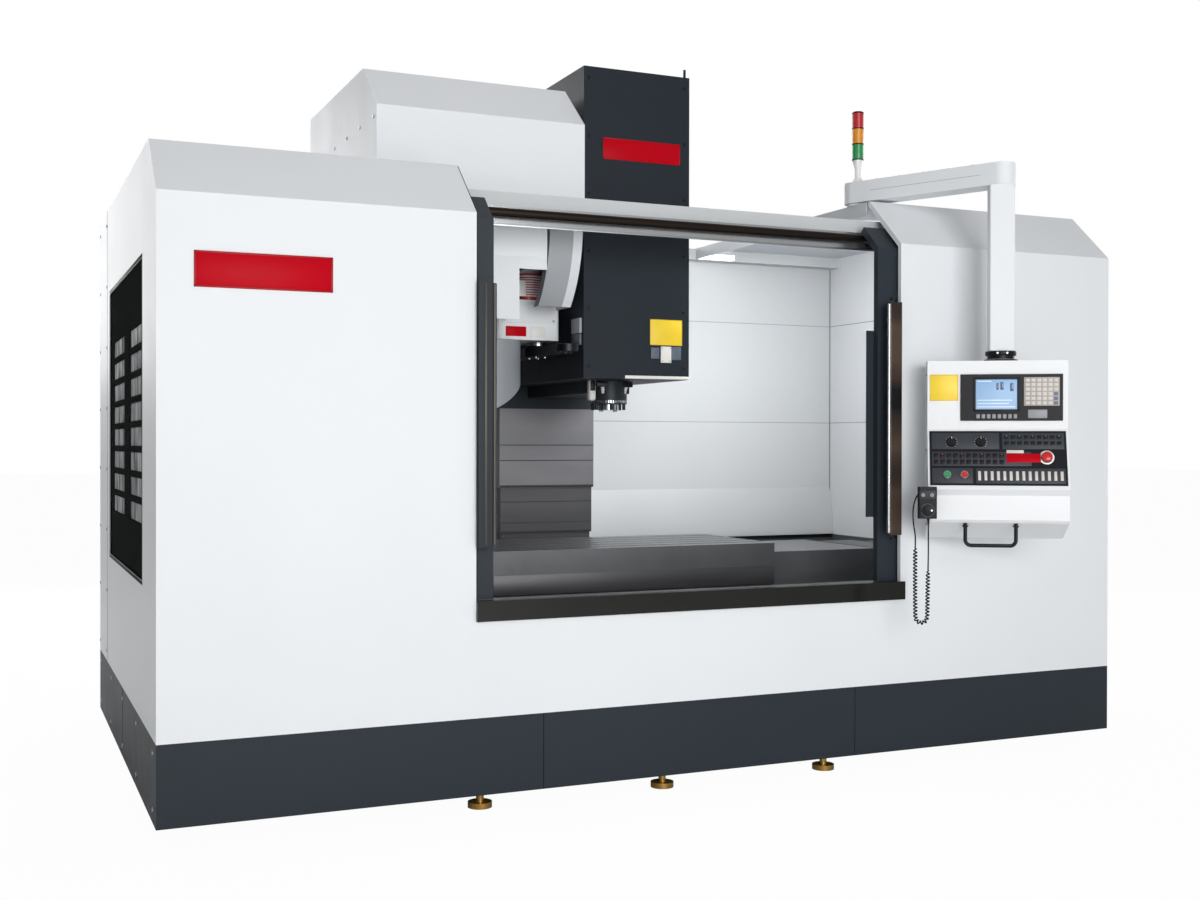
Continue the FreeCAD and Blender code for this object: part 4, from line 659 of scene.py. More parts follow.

# ---- Door handles ------------------------------------------------------------------------------
# Each leaf has a tall flat bar, slate on the left and bronze anodised on the right. A round rod
# runs along its edge, satin on the left and polished on the right, and three turned posts hold it.
# A satin strip down the middle of the left bar is a painted highlight.
bar_bronze = Finish("bronze_bar", "2B2623", 0.34, 0.4, Specular_IOR_Level=0.2)
streaks = bar_bronze.noise(3.0, 2.0, (0.3, 0.3, 1))
bar_bronze.vary(Base_Color=bar_bronze.blend((streaks - 0.4) * 5.0, "1C1C1F", "56473C"),
                Roughness=0.26 + bar_bronze.noise(7.0, 4.0, (30, 30, 0.35)) * 0.2)
bar_slate = Finish("slate_bar", "23282D", 0.4, Specular_IOR_Level=0.2)
bar_slate.cloud("202429", "292F35", 6.0, 3.0, (20, 20, 0.4))
chrome = worn("polished_chrome", "A9ABAE", 0.14, 0.26, 40.0, 3.0, Metallic=1.0)
satin_rod = Finish("satin_rod", "4C4A49", 0.4, 0.7, Specular_IOR_Level=0.3)
satin_rod.cloud("37393C", "5F5953", 2.4, 2.0, (0.3, 0.3, 1))
satin_rod.vary(Roughness=0.34 + satin_rod.noise(40.0, 3.0) * 0.12)
for side, sign in (("left", -1), ("right", 1)):
    finish_node(side + "_door_handle", bar_slate if side == "left" else bar_bronze)
    low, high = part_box(side + "_door_handle")
    edge = low.x if sign > 0 else high.x
    if side == "left":
        # Satin strip down the middle of the bar: a painted highlight.
        bright = (low.x + high.x) / 2 - 0.006
        blocks("left_handle_strip", satin_rod, "left_door",
               [((bright - 0.004, low.y - 0.0012, low.z + 0.01),
                 (bright + 0.004, low.y + 0.001, high.z - 0.01))], 0.0006)
    rod = Vector((edge + sign * 0.008, low.y + 0.007, low.z + 0.012))
    turned(side + "_handle_rod", satin_rod if side == "left" else chrome, side + "_door",
           [(0.0, -0.004), (0.006, -0.004), (0.0084, -0.001), (0.0084, 0.987), (0.006, 0.990),
            (0.0, 0.990)], rod, (0, 0, 1), 24)
    bar_middle = edge + sign * 0.0438
    for share in (0.1, 0.5, 0.9):
        turned(side + "_handle_post_%d" % (share * 100), chrome, side + "_door",
               [(0.0095, 0.0), (0.0095, 0.03), (0.013, 0.034), (0.014, 0.05)],
               (bar_middle, low.y + 0.0135, low.z + share * 1.01), (0, 1, 0), 24)

# ---- Door rail and sill ------------------------------------------------------------------------
# The leaves hang on a dark bronze bar before a bright steel channel over the opening, and run in a
# groove of a glossy black sill with stainless wear strips. A black profile edges the left panel.
rail_metal = Finish("rail_metal", "2A2420", 0.3, 0.9)
on_channel = rail_metal.along("Y").over(at(0, 196, 0).y)
rail_metal.vary(Base_Color=rail_metal.blend(on_channel, "2B2420", "B9BBBD"),
                Roughness=0.3 - on_channel * 0.12 + rail_metal.noise(9.0, 3.0, (0.3, 6, 6)) * 0.1)
finish_node("door_rail", rail_metal)
sill_black = Finish("gloss_black", "131312", 0.2, Specular_IOR_Level=0.35)
sill_black.cloud("10100F", "1C1C19", 2.0, 3.0)
sill_black.vary(Roughness=0.1 + sill_black.noise(3.0, 4.0) * 0.16)
finish_node("sill_rail", sill_black)
sill_low, sill_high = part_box("sill_rail")
steel_strip = worn("stainless_strip", "A5A8AA", 0.24, 0.4, 60.0, 2.0, (0.2, 8, 8), Metallic=1.0)
blocks("sill_strips", steel_strip, "machine",
       [((sill_low.x + 0.004, at(0, y, 0).y, sill_high.z - 0.0005),
         (sill_high.x - 0.004, at(0, y + 6, 0).y, sill_high.z + 0.0002)) for y in (36, 58)], 0.0002)
blocks("channel_lip", steel_strip, "machine",
       [(at(-1910, 203.5, 2270), at(1910, 205, 2277))], 0.0006)


def folded(name, finish, outline, edges):
    """Folded sheet: its outline in y and z, between two places in x, all in millimetres."""
    sheet = bmesh.new()
    ends = [[sheet.verts.new(at(x, y, z)) for y, z in outline] for x in edges]
    for k in range(len(outline)):
        n = (k + 1) % len(outline)
        sheet.faces.new((ends[0][k], ends[0][n], ends[1][n], ends[1][k]))
    for end in ends:
        sheet.faces.new(end)
    piece(sheet, name, finish, "machine")


folded("left_edging", gasket_black,
       [(0.4, 806), (0.4, 2280), (236, 2499), (250, 2487), (22.5, 2270), (22.5, 806)],
       (-986, -982.5))

# ---- Splash space ------------------------------------------------------------------------------
# The space round the table is lined with satin sheet in three courses with narrow joints. The back
# is grey and the side walls are painted lighter, as painted light; below the pan's rim the lining
# is painted dark, as painted shade under the apron. A sloped apron along its foot throws chips into
# the dark pan below. A lamp hangs at the back.
wall_x, wall_y, wall_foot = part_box("chip_pan")[1]
lining = Finish("wall_lining", "C2C5C7", 0.5, Specular_IOR_Level=0.3)
sideways = lining.along("X")
# The side walls are painted lighter than the back: painted light.
painted_light_sides = (sideways * sideways).over((wall_x - 0.0025) ** 2)
wet = lining.noise(1.2, 4.0, (1, 1, 0.5))
# Below the pan's rim the lining is painted dark: painted shade under the apron.
painted_shade_below_rim = 1 - lining.along("Z").over(wall_foot)
stain_and_light_tone = lining.blend(painted_light_sides, lining.blend(wet, "C4C7C9", "B9BCBE"),
                          lining.blend(wet, "E8EAEC", "DEE1E4"))
lining.vary(Base_Color=lining.blend(painted_shade_below_rim, stain_and_light_tone, "55585A"), Roughness=0.36 + wet * 0.16)
lining.bump(lining.noise(240.0), 0.05, 0.0004)
finish_node("inner_walls", lining)
joint_grey = worn("wall_joint", "7C8185", 0.6, 0.8, 60.0)
courses = (1.529, 2.101)
wall_front, column_gap = at(0, 240, 0).y, 0.31
joint_half, joint_proud = 0.0015, 0.0008
blocks("wall_joints", joint_grey, "machine",
       [((x0, wall_y - joint_proud, z - joint_half), (x1, wall_y + 0.0005, z + joint_half))
        for z in courses for x0, x1 in ((-wall_x, -column_gap), (column_gap, wall_x))]
       + [((side * wall_x - joint_proud, wall_front, z - joint_half),
           (side * wall_x + joint_proud, wall_y, z + joint_half))
          for z in courses for side in (-1, 1)]
       + [((side * (wall_x - 0.004), wall_y - 0.004, wall_foot + 0.002),
           (side * wall_x, wall_y, 2.495)) for side in (-1, 1)], 0.0003)
apron_steel = worn("chip_apron", "C3C6C8", 0.28, 0.46, 4.0, 4.0, (0.4, 2, 2), Metallic=0.3)
for hand, side in (("left", -1), ("right", 1)):
    folded("chip_apron_" + hand, apron_steel,
           [(1988, 1148), (1946, 905), (1946, 874), (1949, 874), (1949, 903), (1989, 1136)],
           (side * 312, side * 1913))
lamp_glow = grained("lamp_glow", "F4F7FA", 0.4, 300.0, 0.05, Emission_Color=(0.93, 0.97, 1.0, 1),
                    Emission_Strength=1.6)
finish_node("work_light", lamp_glow)
lamp_low, lamp_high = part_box("work_light")
blocks("work_light_body", steel_strip, "machine",
       [((lamp_low.x, lamp_low.y, lamp_high.z - 0.009), lamp_high),
        (lamp_low, (lamp_low.x + 0.008, lamp_high.y, lamp_high.z)),
        ((lamp_high.x - 0.008, lamp_low.y, lamp_low.z), lamp_high)], 0.0015)

# ---- Chip pan and bed --------------------------------------------------------------------------
# The pan is bare dark-grey sheet, stained by coolant. The bed under it is a ribbed casting with a
# thick grey coat over coarse sand-cast skin.
pan_sheet = Finish("pan_sheet", "38393A", 0.45, 0.2, Specular_IOR_Level=0.3)
stain = pan_sheet.noise(2.6, 5.0)
pan_sheet.vary(Base_Color=pan_sheet.blend(stain, "2C2E2F", "484A4B"), Roughness=0.34 + stain * 0.26)
finish_node("chip_pan", pan_sheet)
casting_grey = Finish("casting_grey", "6A7073", 0.55)
casting_grey.cloud("5E6468", "777D80", 3.0, 4.0)
casting_grey.bump(casting_grey.noise(120.0, 4.0), 0.25, 0.0015)
finish_node("bed", casting_grey)

# ---- Telescopic covers, saddle and table -------------------------------------------------------
# Ground steel plates slide over each other on every side of the saddle, each with a black wiper
# lip. The table is ground cast iron with five T-slots; scraping leaves a faint flaked pattern.
cover_steel = Finish("cover_steel", "5A5A5C", 0.4, 0.6, Specular_IOR_Level=0.3)
grain = cover_steel.noise(5.0, 5.0, (0.5, 0.5, 6.0))
cover_steel.cloud("444446", "606062", 2.0, 3.0, (0.6, 0.6, 2.6))
cover_steel.vary(Roughness=0.34 + grain * 0.18)
for cover in ("saddle", "front_cover_slide", "left_cover_slide", "right_cover_slide",
              "column_cover_slide", "fixed_way_covers"):
    finish_node(cover, cover_steel)
table_iron = Finish("ground_iron", "5A5B5E", 0.38, 0.7)
flake = table_iron.noise(55.0, 2.0, (1, 1, 0.2))
table_iron.cloud("5A5B5E", "7A7B7E", 2.0, 4.0)
table_iron.vary(Roughness=0.26 + flake * 0.2)
finish_node("table", table_iron)
wiper_black = grained("wiper_rubber", "1C1C1D", 0.6, 200.0, 0.1, 0.0004)
spindle_line = 965
wiper_front, wiper_back = (at(0, spindle_line + reach, 0).y for reach in (-313, 313))
slide_end, table_end = (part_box(name)[1] for name in ("right_cover_slide", "table"))
for name, body, reach, top in (("{}_outer_wiper", "{}_cover_slide", slide_end.x, slide_end.z),
                               ("table_{}_wiper", "table", table_end.x, slide_end.z + 0.008)):
    for hand, side in (("left", -1), ("right", 1)):
        blocks(name.format(hand), wiper_black, body.format(hand),
               [((side * (reach - 0.010), wiper_front, top - 0.001),
                 (side * reach, wiper_back, top + 0.0012))], 0.0006)
wiper_low, wiper_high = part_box("front_cover_slide")
blocks("front_slide_wiper", wiper_black, "front_cover_slide",
       [((wiper_low.x + 0.012, wiper_low.y, wiper_high.z - 0.001),
         (wiper_high.x - 0.012, wiper_low.y + 0.010, wiper_high.z + 0.0001))], 0.0001)
blocks("table_aprons", cover_steel, "table",
       [(at(-698, y, 748), at(698, y + 3, 836)) for y in (612, 1315)], 0.001)

# ---- Column and guides -------------------------------------------------------------------------
# The column is a white-painted casting with three bolted plates on its back. Ball screws and their
# motors, in ground steel, run along bed, saddle and column.
casting_white = Finish("casting_white", "D0D3D5", 0.5)
casting_white.cloud("D4D7D9", "C3C7CA", 2.2, 4.0)
casting_white.bump(casting_white.noise(150.0, 4.0), 0.16, 0.0012)
finish_node("column", casting_white)
guide_steel = worn("guide_steel", "A2A5A8", 0.18, 0.32, 80.0, 2.0, (4, 4, 0.3), Metallic=1.0)
finish_node("feed_drives", guide_steel)
blocks("column_rear_plates", white_coat, "machine",
       [(at(-330, 2559, z), at(330, 2563, z + 420)) for z in (900, 1500, 2100)], 0.003)
for name, z in (("column_plate_screws", 930), ("column_plate_screws_high", 1290)):
    screws(name, screw_zinc, "machine", 0.010, (0, 1, 0), at(-300, 2563, z), (0.60, 0, 0), 2,
           (0, 0, 0.6), 3)

# ---- Spindle head ------------------------------------------------------------------------------
# The head's casting is painted slate and boxed in by a slate sheet cover with small moulded boxes.
# A steel plate below its carriage starts the column's telescopic cover, with a wiper lip.
# Dark strips along two pressed folds on the plate and on the slide below are painted shade.
head_paint = Finish("head_paint", "2B3137", 0.42, Specular_IOR_Level=0.2)
carriage_foot = 1.5845
below_carriage = 1 - head_paint.along("Z").over(carriage_foot)
on_plate = head_paint.along("Y").over(at(0, 1733, 0).y) * below_carriage
head_smear = head_paint.noise(2.0, 3.0, (0.6, 0.6, 2.6))
head_slate_tone = head_paint.blend(head_smear, "2A3036", "23282D")
head_plate_tone = head_paint.blend(head_smear, "646467", "8A8A8D")
head_paint.vary(Base_Color=head_paint.blend(on_plate, head_slate_tone, head_plate_tone),
                Metallic=on_plate * 0.75, Roughness=0.36 + head_smear * 0.1)
finish_node("head_casting", head_paint)
head_slate = powder_coat("head_slate", "252B32", "1F252B", 0.46, 0.08, 0.15)
finish_node("head_cover", head_slate)
plate_y = at(0, 1735, 0).y
# Dark strips along the plate's folds: painted shade.
blocks("carriage_plate_folds", seam_dark, "head",
       [((-0.262, plate_y - 0.0016, z - 0.002), (0.262, plate_y + 0.001, z + 0.002))
        for z in (1.396, 1.316)], 0.0008)
blocks("carriage_plate_wiper", wiper_black, "head",
       [((-0.262, plate_y - 0.002, 1.176), (0.262, plate_y + 0.0015, 1.188))], 0.0008)
slide_foot, slide_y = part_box("column_cover_slide")[0].z, at(0, 1743, 0).y
# Dark strips along the slide's folds: painted shade.
blocks("column_slide_folds", seam_dark, "column_cover_slide",
       [((-0.254, slide_y - 0.0012, z - 0.002), (0.254, slide_y + 0.001, z + 0.002))
        for z in (1.101, 0.993)], 0.0006)
blocks("column_slide_wiper", wiper_black, "column_cover_slide",
       [((-0.254, slide_y - 0.0001, slide_foot + 0.001),
         (0.254, slide_y + 0.001, slide_foot + 0.011))], 0.0001)
name_field("head_field", at(-171, 650, 2673), at(215, 650, 2770), "head", 0.004, 0.006)


def foil_plate(name, low, high, body, place=None, thick=0.002, rim=0.0035):
    """Bare yellow plate with rounded edges. Its rim is a shade darker."""
    blocks(name, yellow_foil, body, [(low, (high[0], low[1] - thick, high[2]))], 0.0008, place)
    blocks(name + "_rim", foil_rim, body, rim_bars(low, high, thick * 1.3, 0.0, rim), 0.0006, place)


foil_rim = grained("yellow_rim", "D9B81E", 0.4, 120.0, 0.08)
foil_plate("head_plate", at(64, 650, 1851), at(227, 650, 1968), "head")
box_grey = grained("moulded_grey", "9DA2A8", 0.45, 380.0, 0.12)
box_white = grained("moulded_white", "E2E0DC", 0.42, 380.0, 0.1)
box_blue = grained("moulded_blue_grey", "55606D", 0.42, 380.0, 0.1)
blocks("head_switch_box", box_white, "head", [(at(118, 646, 1772), at(172, 651, 1846))], 0.003)
blocks("head_switch_box_lid", box_blue, "head", [(at(174, 647, 1786), at(222, 651, 1846)),
                                                 (at(70, 648, 1790), at(112, 651, 1840))], 0.003)
screws("head_switch_screws", screw_zinc, "head", 0.003, (0, -1, 0),
       at(125, 646, 1780), (0.040, 0, 0), 2, (0, 0, 0.058), 2)
blocks("head_edge_strip", box_white, "head", [(at(-60, 647.5, 1697), at(262, 651, 1711))], 0.001)
blocks("head_seams", seam_dark, "head",
       [(at(-263, 649.4, 2438.5), at(263, 650.5, 2441.5))]
       + [(at(x - 0.5, 1180, 1700), at(x + 0.5, 1183, 3076)) for x in (-263, 263)], 0.0003)
screws("head_cover_screws", screw_dark, "head", 0.007, (0, -1, 0),
       at(-238, 650, 1750), (0.476, 0, 0), 2, (0, 0, 0.2555), 6)
blocks("head_side_box", box_grey, "head", [(at(-275, 668, 1896), at(-263, 765, 1963))], 0.002)
blocks("head_side_box_lid", box_blue, "head", [(at(-274, 670, 1843), at(-263, 763, 1893))], 0.002)

# ---- Spindle nose ------------------------------------------------------------------------------
# The nose is ground steel in a ring of socket screws, with coolant nozzles of jointed plastic and
# a white splash block beside it.
nose_steel = worn("ground_steel", "B4B7BA", 0.16, 0.32, 90.0, 2.0, (1, 1, 6), Metallic=1.0)
finish_node("spindle", nose_steel)
spindle_foot = at(0, spindle_line, 1562)
turned("nose_ring", nose_steel, "head",
       [(0.0505, 0.0), (0.086, 0.0), (0.088, 0.002), (0.088, 0.014), (0.083, 0.018),
        (0.0505, 0.018)], spindle_foot + Vector((0, 0, 0.030)), (0, 0, 1), 48)
screw_count, screw_circle = 6, 0.076
for k in range(screw_count):
    turn = math.radians(50 + 360 / screw_count * k)
    spot = Vector((screw_circle * math.cos(turn), screw_circle * math.sin(turn), 0.0225))
    turned("nose_screw_%d" % k, screw_dark, "head",
           [(0.0, 0.004), (0.0035, 0.004), (0.0038, 0.0), (0.0065, 0.0), (0.0075, 0.001),
            (0.0075, 0.010)], spindle_foot + spot, (0, 0, 1), 16)
blocks("splash_block", box_white, "head", [(at(-124, 903, 1604), at(-88, 937, 1728))], 0.012,
       segments=4)
blocks("nozzle_holder", screw_dark, "head", [(at(-92, 885, 1668), at(92, 905, 1694)),
                                             (at(-118, 895, 1650), at(-96, 945, 1696))], 0.004)


def ribbed(count, pitch, rib):
    """Profile points of one rib, repeated along the axis."""
    return [(radius, far + pitch * k) for k in range(count) for radius, far in rib]


nozzle = ([(0.0, 0.0)]
          + ribbed(5, 0.0125, [(0.0085, 0.002), (0.0095, 0.005), (0.0085, 0.009), (0.0068, 0.0115)])
          + [(0.005, 0.082), (0.003, 0.088), (0.0, 0.088)])
for k, (x, lean) in enumerate(((-62, 0.28), (0, 0.0), (62, -0.28))):
    turned("coolant_nozzle_%d" % k, box_blue if k % 2 else box_white, "head", nozzle,
           at(x, 895, 1672), (lean, 0.30, -1), 16)
for k, x in enumerate((-38, -8)):
    turned("nose_bolt_%d" % k, nose_steel, "head",
           [(0.010, 0.0), (0.010, 0.006), (0.008, 0.008), (0.0055, 0.008), (0.005, 0.004),
            (0.0, 0.004)], at(x, 878, 1716), (0, -1, 0), 20)

# ---- Tool changer ------------------------------------------------------------------------------
# A round white casing holds the tool disc and its black pots; the casing's inner side is
# painted grey as painted shade. Below it the change unit carries a small red motor and turns a
# blackened double arm.
drum_coat = Finish("drum_coat", "E2E5E8", 0.46, Specular_IOR_Level=0.3)
drum_side = drum_coat.along("X")
# The band is the casing's inner side, painted grey as painted shade.
band_left, band_right = -0.4952, -0.386
shade_band_mask = drum_side.over(band_left) * (1 - drum_side.over(band_right))
drum_white = drum_coat.blend(drum_coat.noise(1.7), "E2E5E8", "D7DBDF")
drum_band_shade = drum_coat.blend(drum_coat.noise(4.0), "9A9EA2", "A8ACB0")
drum_coat.vary(Base_Color=drum_coat.blend(shade_band_mask, drum_white, drum_band_shade))
drum_coat.bump(drum_coat.noise(420.0), 0.12, 0.0006)
finish_node("magazine_frame", drum_coat)
blocks("motor_back_plate", white_coat, "machine",
       [(at(-604, 944, 2052), at(-352, 947, 2262)), (at(-604, 926, 2052), at(-352, 947, 2055))],
       0.001)
blocks("pot_guard", white_coat, "machine",
       [(at(-985, 472, 1926), at(-634, 475, 2191)), (at(-636, 472, 2140), at(-509, 475, 2191))],
       0.001)
# Grey for the arm guard, and painted shade on the casing's inner band.
grey_and_drum_shade = Finish("guard_grey_and_drum_shade", "8D9196", 0.5)
grey_and_drum_shade.cloud("858A8F", "999DA1", 4.0, 3.0)
grey_and_drum_shade.bump(grey_and_drum_shade.noise(260.0), 0.1, 0.0004)
guard = bmesh.new()
guard_middle, guard_rings, guard_steps = at(-604, 900, 0), [], 22
for radius in (0.128, 0.1255):
    for z, droop in ((1.622, 0.09), (1.8665, 0.0)):
        ring = []
        for k in range(guard_steps + 1):
            turn = math.radians(-100 + 8 * k)
            height = z + droop * math.cos(turn - 0.6)
            ring.append(guard.verts.new(guard_middle + Vector((
                radius * math.cos(turn), radius * math.sin(turn), height))))
        guard_rings.append(ring)
for first, second in ((0, 1), (1, 3), (3, 2), (2, 0)):
    near, far = guard_rings[first], guard_rings[second]
    for k in range(guard_steps):
        guard.faces.new((near[k], near[k + 1], far[k + 1], far[k]))
for k in (0, guard_steps):
    guard.faces.new([guard_rings[ring][k] for ring in (0, 1, 3, 2)])
piece(guard, "arm_guard", grey_and_drum_shade, "machine")
drum_middle, pot_count, pot_circle = 2341, 24, 400
disc_steel = worn("disc_steel", "6F7377", 0.3, 0.5, 30.0, 3.0, Metallic=0.7)
finish_node("magazine_disc", disc_steel)
pot_black = grained("pot_black", "1B1C1E", 0.44, 300.0, 0.1, Specular_IOR_Level=0.25)
finish_node("ready_pot", pot_black)
# Inner band of the casing, painted grey as painted shade.
inner_shade_band = lathe_form([(0.4895, 0.001), (0.4895, 0.146), (0.4875, 0.147), (0.4865, 0.146),
                         (0.4865, 0.001)], at(-495, spindle_line, drum_middle), (1, 0, 0), 96)
bmesh.ops.bisect_plane(inner_shade_band, plane_co=at(0, 0, 2180), plane_no=(0, 0, -1), clear_outer=True,
                       geom=inner_shade_band.verts[:] + inner_shade_band.edges[:] + inner_shade_band.faces[:])
bmesh.ops.holes_fill(inner_shade_band, edges=[edge for edge in inner_shade_band.edges if edge.is_boundary])
piece(inner_shade_band, "drum_inner_band", grey_and_drum_shade, "machine")
for k in range(1, pot_count):
    turn = 2 * math.pi * k / pot_count
    pot_spot = at(-661, spindle_line - pot_circle * math.sin(turn),
                  drum_middle - pot_circle * math.cos(turn))
    turned("pot_%02d" % k, pot_black, "magazine",
           [(0.0425, 0.0), (0.0425, 0.118), (0.040, 0.121), (0.0385, 0.139), (0.032, 0.1405),
            (0.0, 0.1405)], pot_spot, (-1, 0, 0), 20)
finish_node("change_unit", white_coat)
unit_low, unit_high = at(-615, 800, 1867), at(-313, 1150, 2046)
unit_cover = unit_low.y - 0.003
blocks("unit_front_cover", white_coat, "machine",
       [((unit_low.x + 0.022, unit_cover, unit_low.z + 0.075),
         (unit_high.x - 0.022, unit_cover + 0.005, unit_high.z - 0.008))], 0.002)
blocks("unit_red_field", red_acrylic, "machine", [(at(-575, 796.5, 1882), at(-478, 801, 1926))],
       0.0015)
blocks("unit_cream_field", box_white, "machine", [(at(-455, 796.5, 1880), at(-385, 801, 1926))],
       0.0015)
screws("unit_screws", screw_zinc, "machine", 0.006, (0, -1, 0),
       (unit_low.x + 0.034, unit_cover, unit_low.z + 0.087), (0.234, 0, 0), 2, (0, 0, 0.072), 2)
motor_red = Finish("motor_red", "B3262A", 0.4, Coat_Weight=0.2)
motor_red.cloud("A92226", "C24A44", 9.0, 3.0)
motor_foot = at(-440, 872, 2046)
motor_fins = ribbed(9, 0.011,
                    [(0.0605, 0.012), (0.0605, 0.017), (0.0565, 0.0175), (0.0565, 0.0225)])
turned("arm_motor", motor_red, "machine",
       [(0.0, 0.0), (0.0605, 0.0)] + motor_fins
       + [(0.0605, 0.112), (0.0605, 0.1205), (0.0, 0.1205)], motor_foot, (0, 0, 1), 40)
turned("arm_motor_cap", box_white, "machine",
       [(0.0485, 0.0), (0.0485, 0.020), (0.044, 0.026), (0.012, 0.0268), (0.0, 0.0268)],
       motor_foot + Vector((0, 0, 0.120)), (0, 0, 1), 40)
blocks("motor_terminal_box", box_white, "machine",
       [(at(-520, 800, 2062), at(-478, 868, 2134)), (at(-523, 806, 2068), at(-519, 862, 2128))],
       0.004)
for k, (x, y) in enumerate(((-508, 812), (-494, 846))):
    turned("motor_gland_%d" % k, pot_black, "machine",
           [(0.0, 0.0), (0.010, 0.0), (0.010, 0.006), (0.008, 0.007), (0.008, 0.012),
            (0.0045, 0.016), (0.0045, 0.024), (0.0, 0.024)], at(x, y, 2062), (0, 0, -1), 16)
blocks("unit_valve_block", pot_black, "machine",
       [(at(-600, 815, 2046), at(-556, 880, 2072)), (at(-594, 822, 2070), at(-584, 834, 2090)),
        (at(-572, 822, 2070), at(-562, 834, 2090)), (at(-380, 830, 2046), at(-345, 900, 2080))],
        0.003)
arm_black = worn("blackened_steel", "232427", 0.28, 0.44, 70.0, 3.0, Metallic=0.8)
finish_node("change_arm", arm_black)
finish_node("arm_sleeve", guide_steel)
for k, (across, behind) in enumerate(((-22, -42), (22, -42), (-22, 42), (22, 42))):
    turned("arm_bolt_%d" % k, nose_steel, "change_arm",
           [(0.0, 0.002), (0.0045, 0.002), (0.005, 0.0), (0.0086, 0.0), (0.0092, 0.001),
            (0.0092, 0.0065)], at(-361 + across, spindle_line + behind, 1793.5), (0, 0, 1), 16)

# ---- Magazine hood -----------------------------------------------------------------------------
# The hood over the magazine is folded white sheet. Its slope follows the enclosure's, and a bolted
# lid on its back gives access to the disc.
hood_low, hood_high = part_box("magazine_hood")
hood_screws_foot = 2.530
blocks("hood_joint", seam_dark, "machine", [(at(-791, 700, 2964.5), at(-789, 1697, 2965.6))],
       0.0003)
screws("hood_screws_side", screw_zinc, "machine", 0.008, (-1, 0, 0),
       (hood_low.x, at(0, 520, 0).y, hood_screws_foot), (0, 0.226, 0), 6, (0, 0, 0.20), 2)
screws("hood_screws_back", screw_zinc, "machine", 0.008, (0, 1, 0),
       (hood_low.x + 0.04, hood_high.y, hood_screws_foot + 0.005), (0.166, 0, 0), 6,
       (0, 0, 0.39), 2)
blocks("hood_lid", white_coat, "machine",
       [((hood_low.x + 0.14, hood_high.y - 0.001, 2.58),
         (hood_high.x - 0.14, hood_high.y + 0.004, 2.88))], 0.003)

# ---- Boom and signal tower ---------------------------------------------------------------------
# A welded box boom swings on the roof post and carries the console on a square tube. Three lamps
# stand on its pivot: green, amber and red, with clear ribbed lenses.
finish_node("boom", white_coat)
tower = Finish("tower_plastic", "E6E7E6", 0.3, Coat_Weight=0.3)
lamp_foot, lamp_step = 2.718, 0.072
tall = tower.along("Z")
rib_pitch = 0.006
rib = (tall * (1 / rib_pitch)) % 1.0
colour = "E6E7E6"
for k, tone in enumerate(("1F8A4C", "D98A14", "B4121B", "2A2A2C")):
    colour = tower.blend(tall.over(lamp_foot + k * lamp_step), colour, tone)
tower.vary(Base_Color=colour)
tower.bump(rib * tall.over(lamp_foot), 0.3, 0.0012)
finish_node("signal_tower", tower)
boom_pivot, boom_end = at(1005, 388, 2512), at(1299, -253, 1784)
for k in range(4):
    turned("tower_ring_%d" % k, gasket_black, "boom",
           [(0.024, -0.0025), (0.0268, -0.0025), (0.0272, 0.0), (0.0268, 0.0025), (0.024, 0.0025)],
           (*boom_pivot.xy, lamp_foot + k * lamp_step), (0, 0, 1), 32)
boom_aim = boom_end - boom_pivot
boom_turn = (Matrix.Translation(boom_pivot)
             @ Matrix.Rotation(math.atan2(boom_aim.y, boom_aim.x), 4, "Z"))
blocks("boom_seams", seam_dark, "boom",
       [((0.10, y - 0.0006, 0.0475), (0.64, y + 0.0006, 0.0485)) for y in (-0.06, 0.06)],
       0.0003, boom_turn)
blocks("boom_lid", white_coat, "boom", [((0.10, -0.045, 0.0955), (0.61, 0.045, 0.0995))], 0.002,
       boom_turn)
screws("boom_lid_screws", screw_zinc, "boom", 0.005, (0, 0, 1),
       (0.12, -0.036, 0.0995), (0.1175, 0, 0), 5, (0, 0.072, 0), 2, boom_turn)
swivel_black = grained("swivel_black", "141517", 0.38, 260.0, 0.12, Specular_IOR_Level=0.2)
turned("swivel_collar", swivel_black, "boom",
       [(0.053, 0.0), (0.0635, 0.0), (0.0645, 0.002), (0.0645, 0.016), (0.059, 0.0225),
        (0.053, 0.0225)], boom_end, (0, 0, 1), 48)
screws("swivel_screws", screw_zinc, "boom", 0.005, (0, -1, 0),
       (-0.02, -0.0640, 0.009), (0.04, 0, 0), 2, place=desk @ Matrix.Translation((0, 0, 1.784)))

# ---- Console -----------------------------------------------------------------------------------
# The console is a folded white case. Its upper face holds the control unit, its sloping face the
# machine's own panel, and a black tubular handle is bent under its lip.
console_coat = powder_coat("console_powder_coat", "E6E8EA", "DADDE0", 0.44, 0.08)
finish_node("console_shell", console_coat)
bezel = grained("bezel_black", "1B1C1F", 0.42, 420.0, 0.14, Specular_IOR_Level=0.15)
finish_node("cnc_unit", bezel)
panel_film = worn("panel_film", "1C1E22", 0.3, 0.4, 40.0, 2.0, Specular_IOR_Level=0.1)
finish_node("operator_panel", panel_film)
handle_black = worn("handle_black", "121315", 0.26, 0.4, 30.0, Specular_IOR_Level=0.2)
finish_node("console_handle", handle_black)
turned("console_base_ring", swivel_black, "console",
       [(0.056, 0.0), (0.0705, 0.0), (0.0715, 0.0015), (0.0715, 0.0085), (0.066, 0.0115),
        (0.0568, 0.012), (0.0568, 0.0265), (0.056, 0.0265)],
       at(1299, -253, 1757), (0, 0, 1), 48)
for name, side, x in (("console_side_screws", -1, -0.313), ("console_right_screws", 1, 0.261)):
    screws(name, screw_zinc, "console", 0.005, (side, 0, 0), (x, -0.02, 1.06), (0, -0.07, 0), 2,
           (0, 0, 0.32), 3, desk)
blocks("console_back_lid", console_coat, "console", [((-0.22, 0.055, 1.10), (0.17, 0.0595, 1.68))],
       0.003, desk)
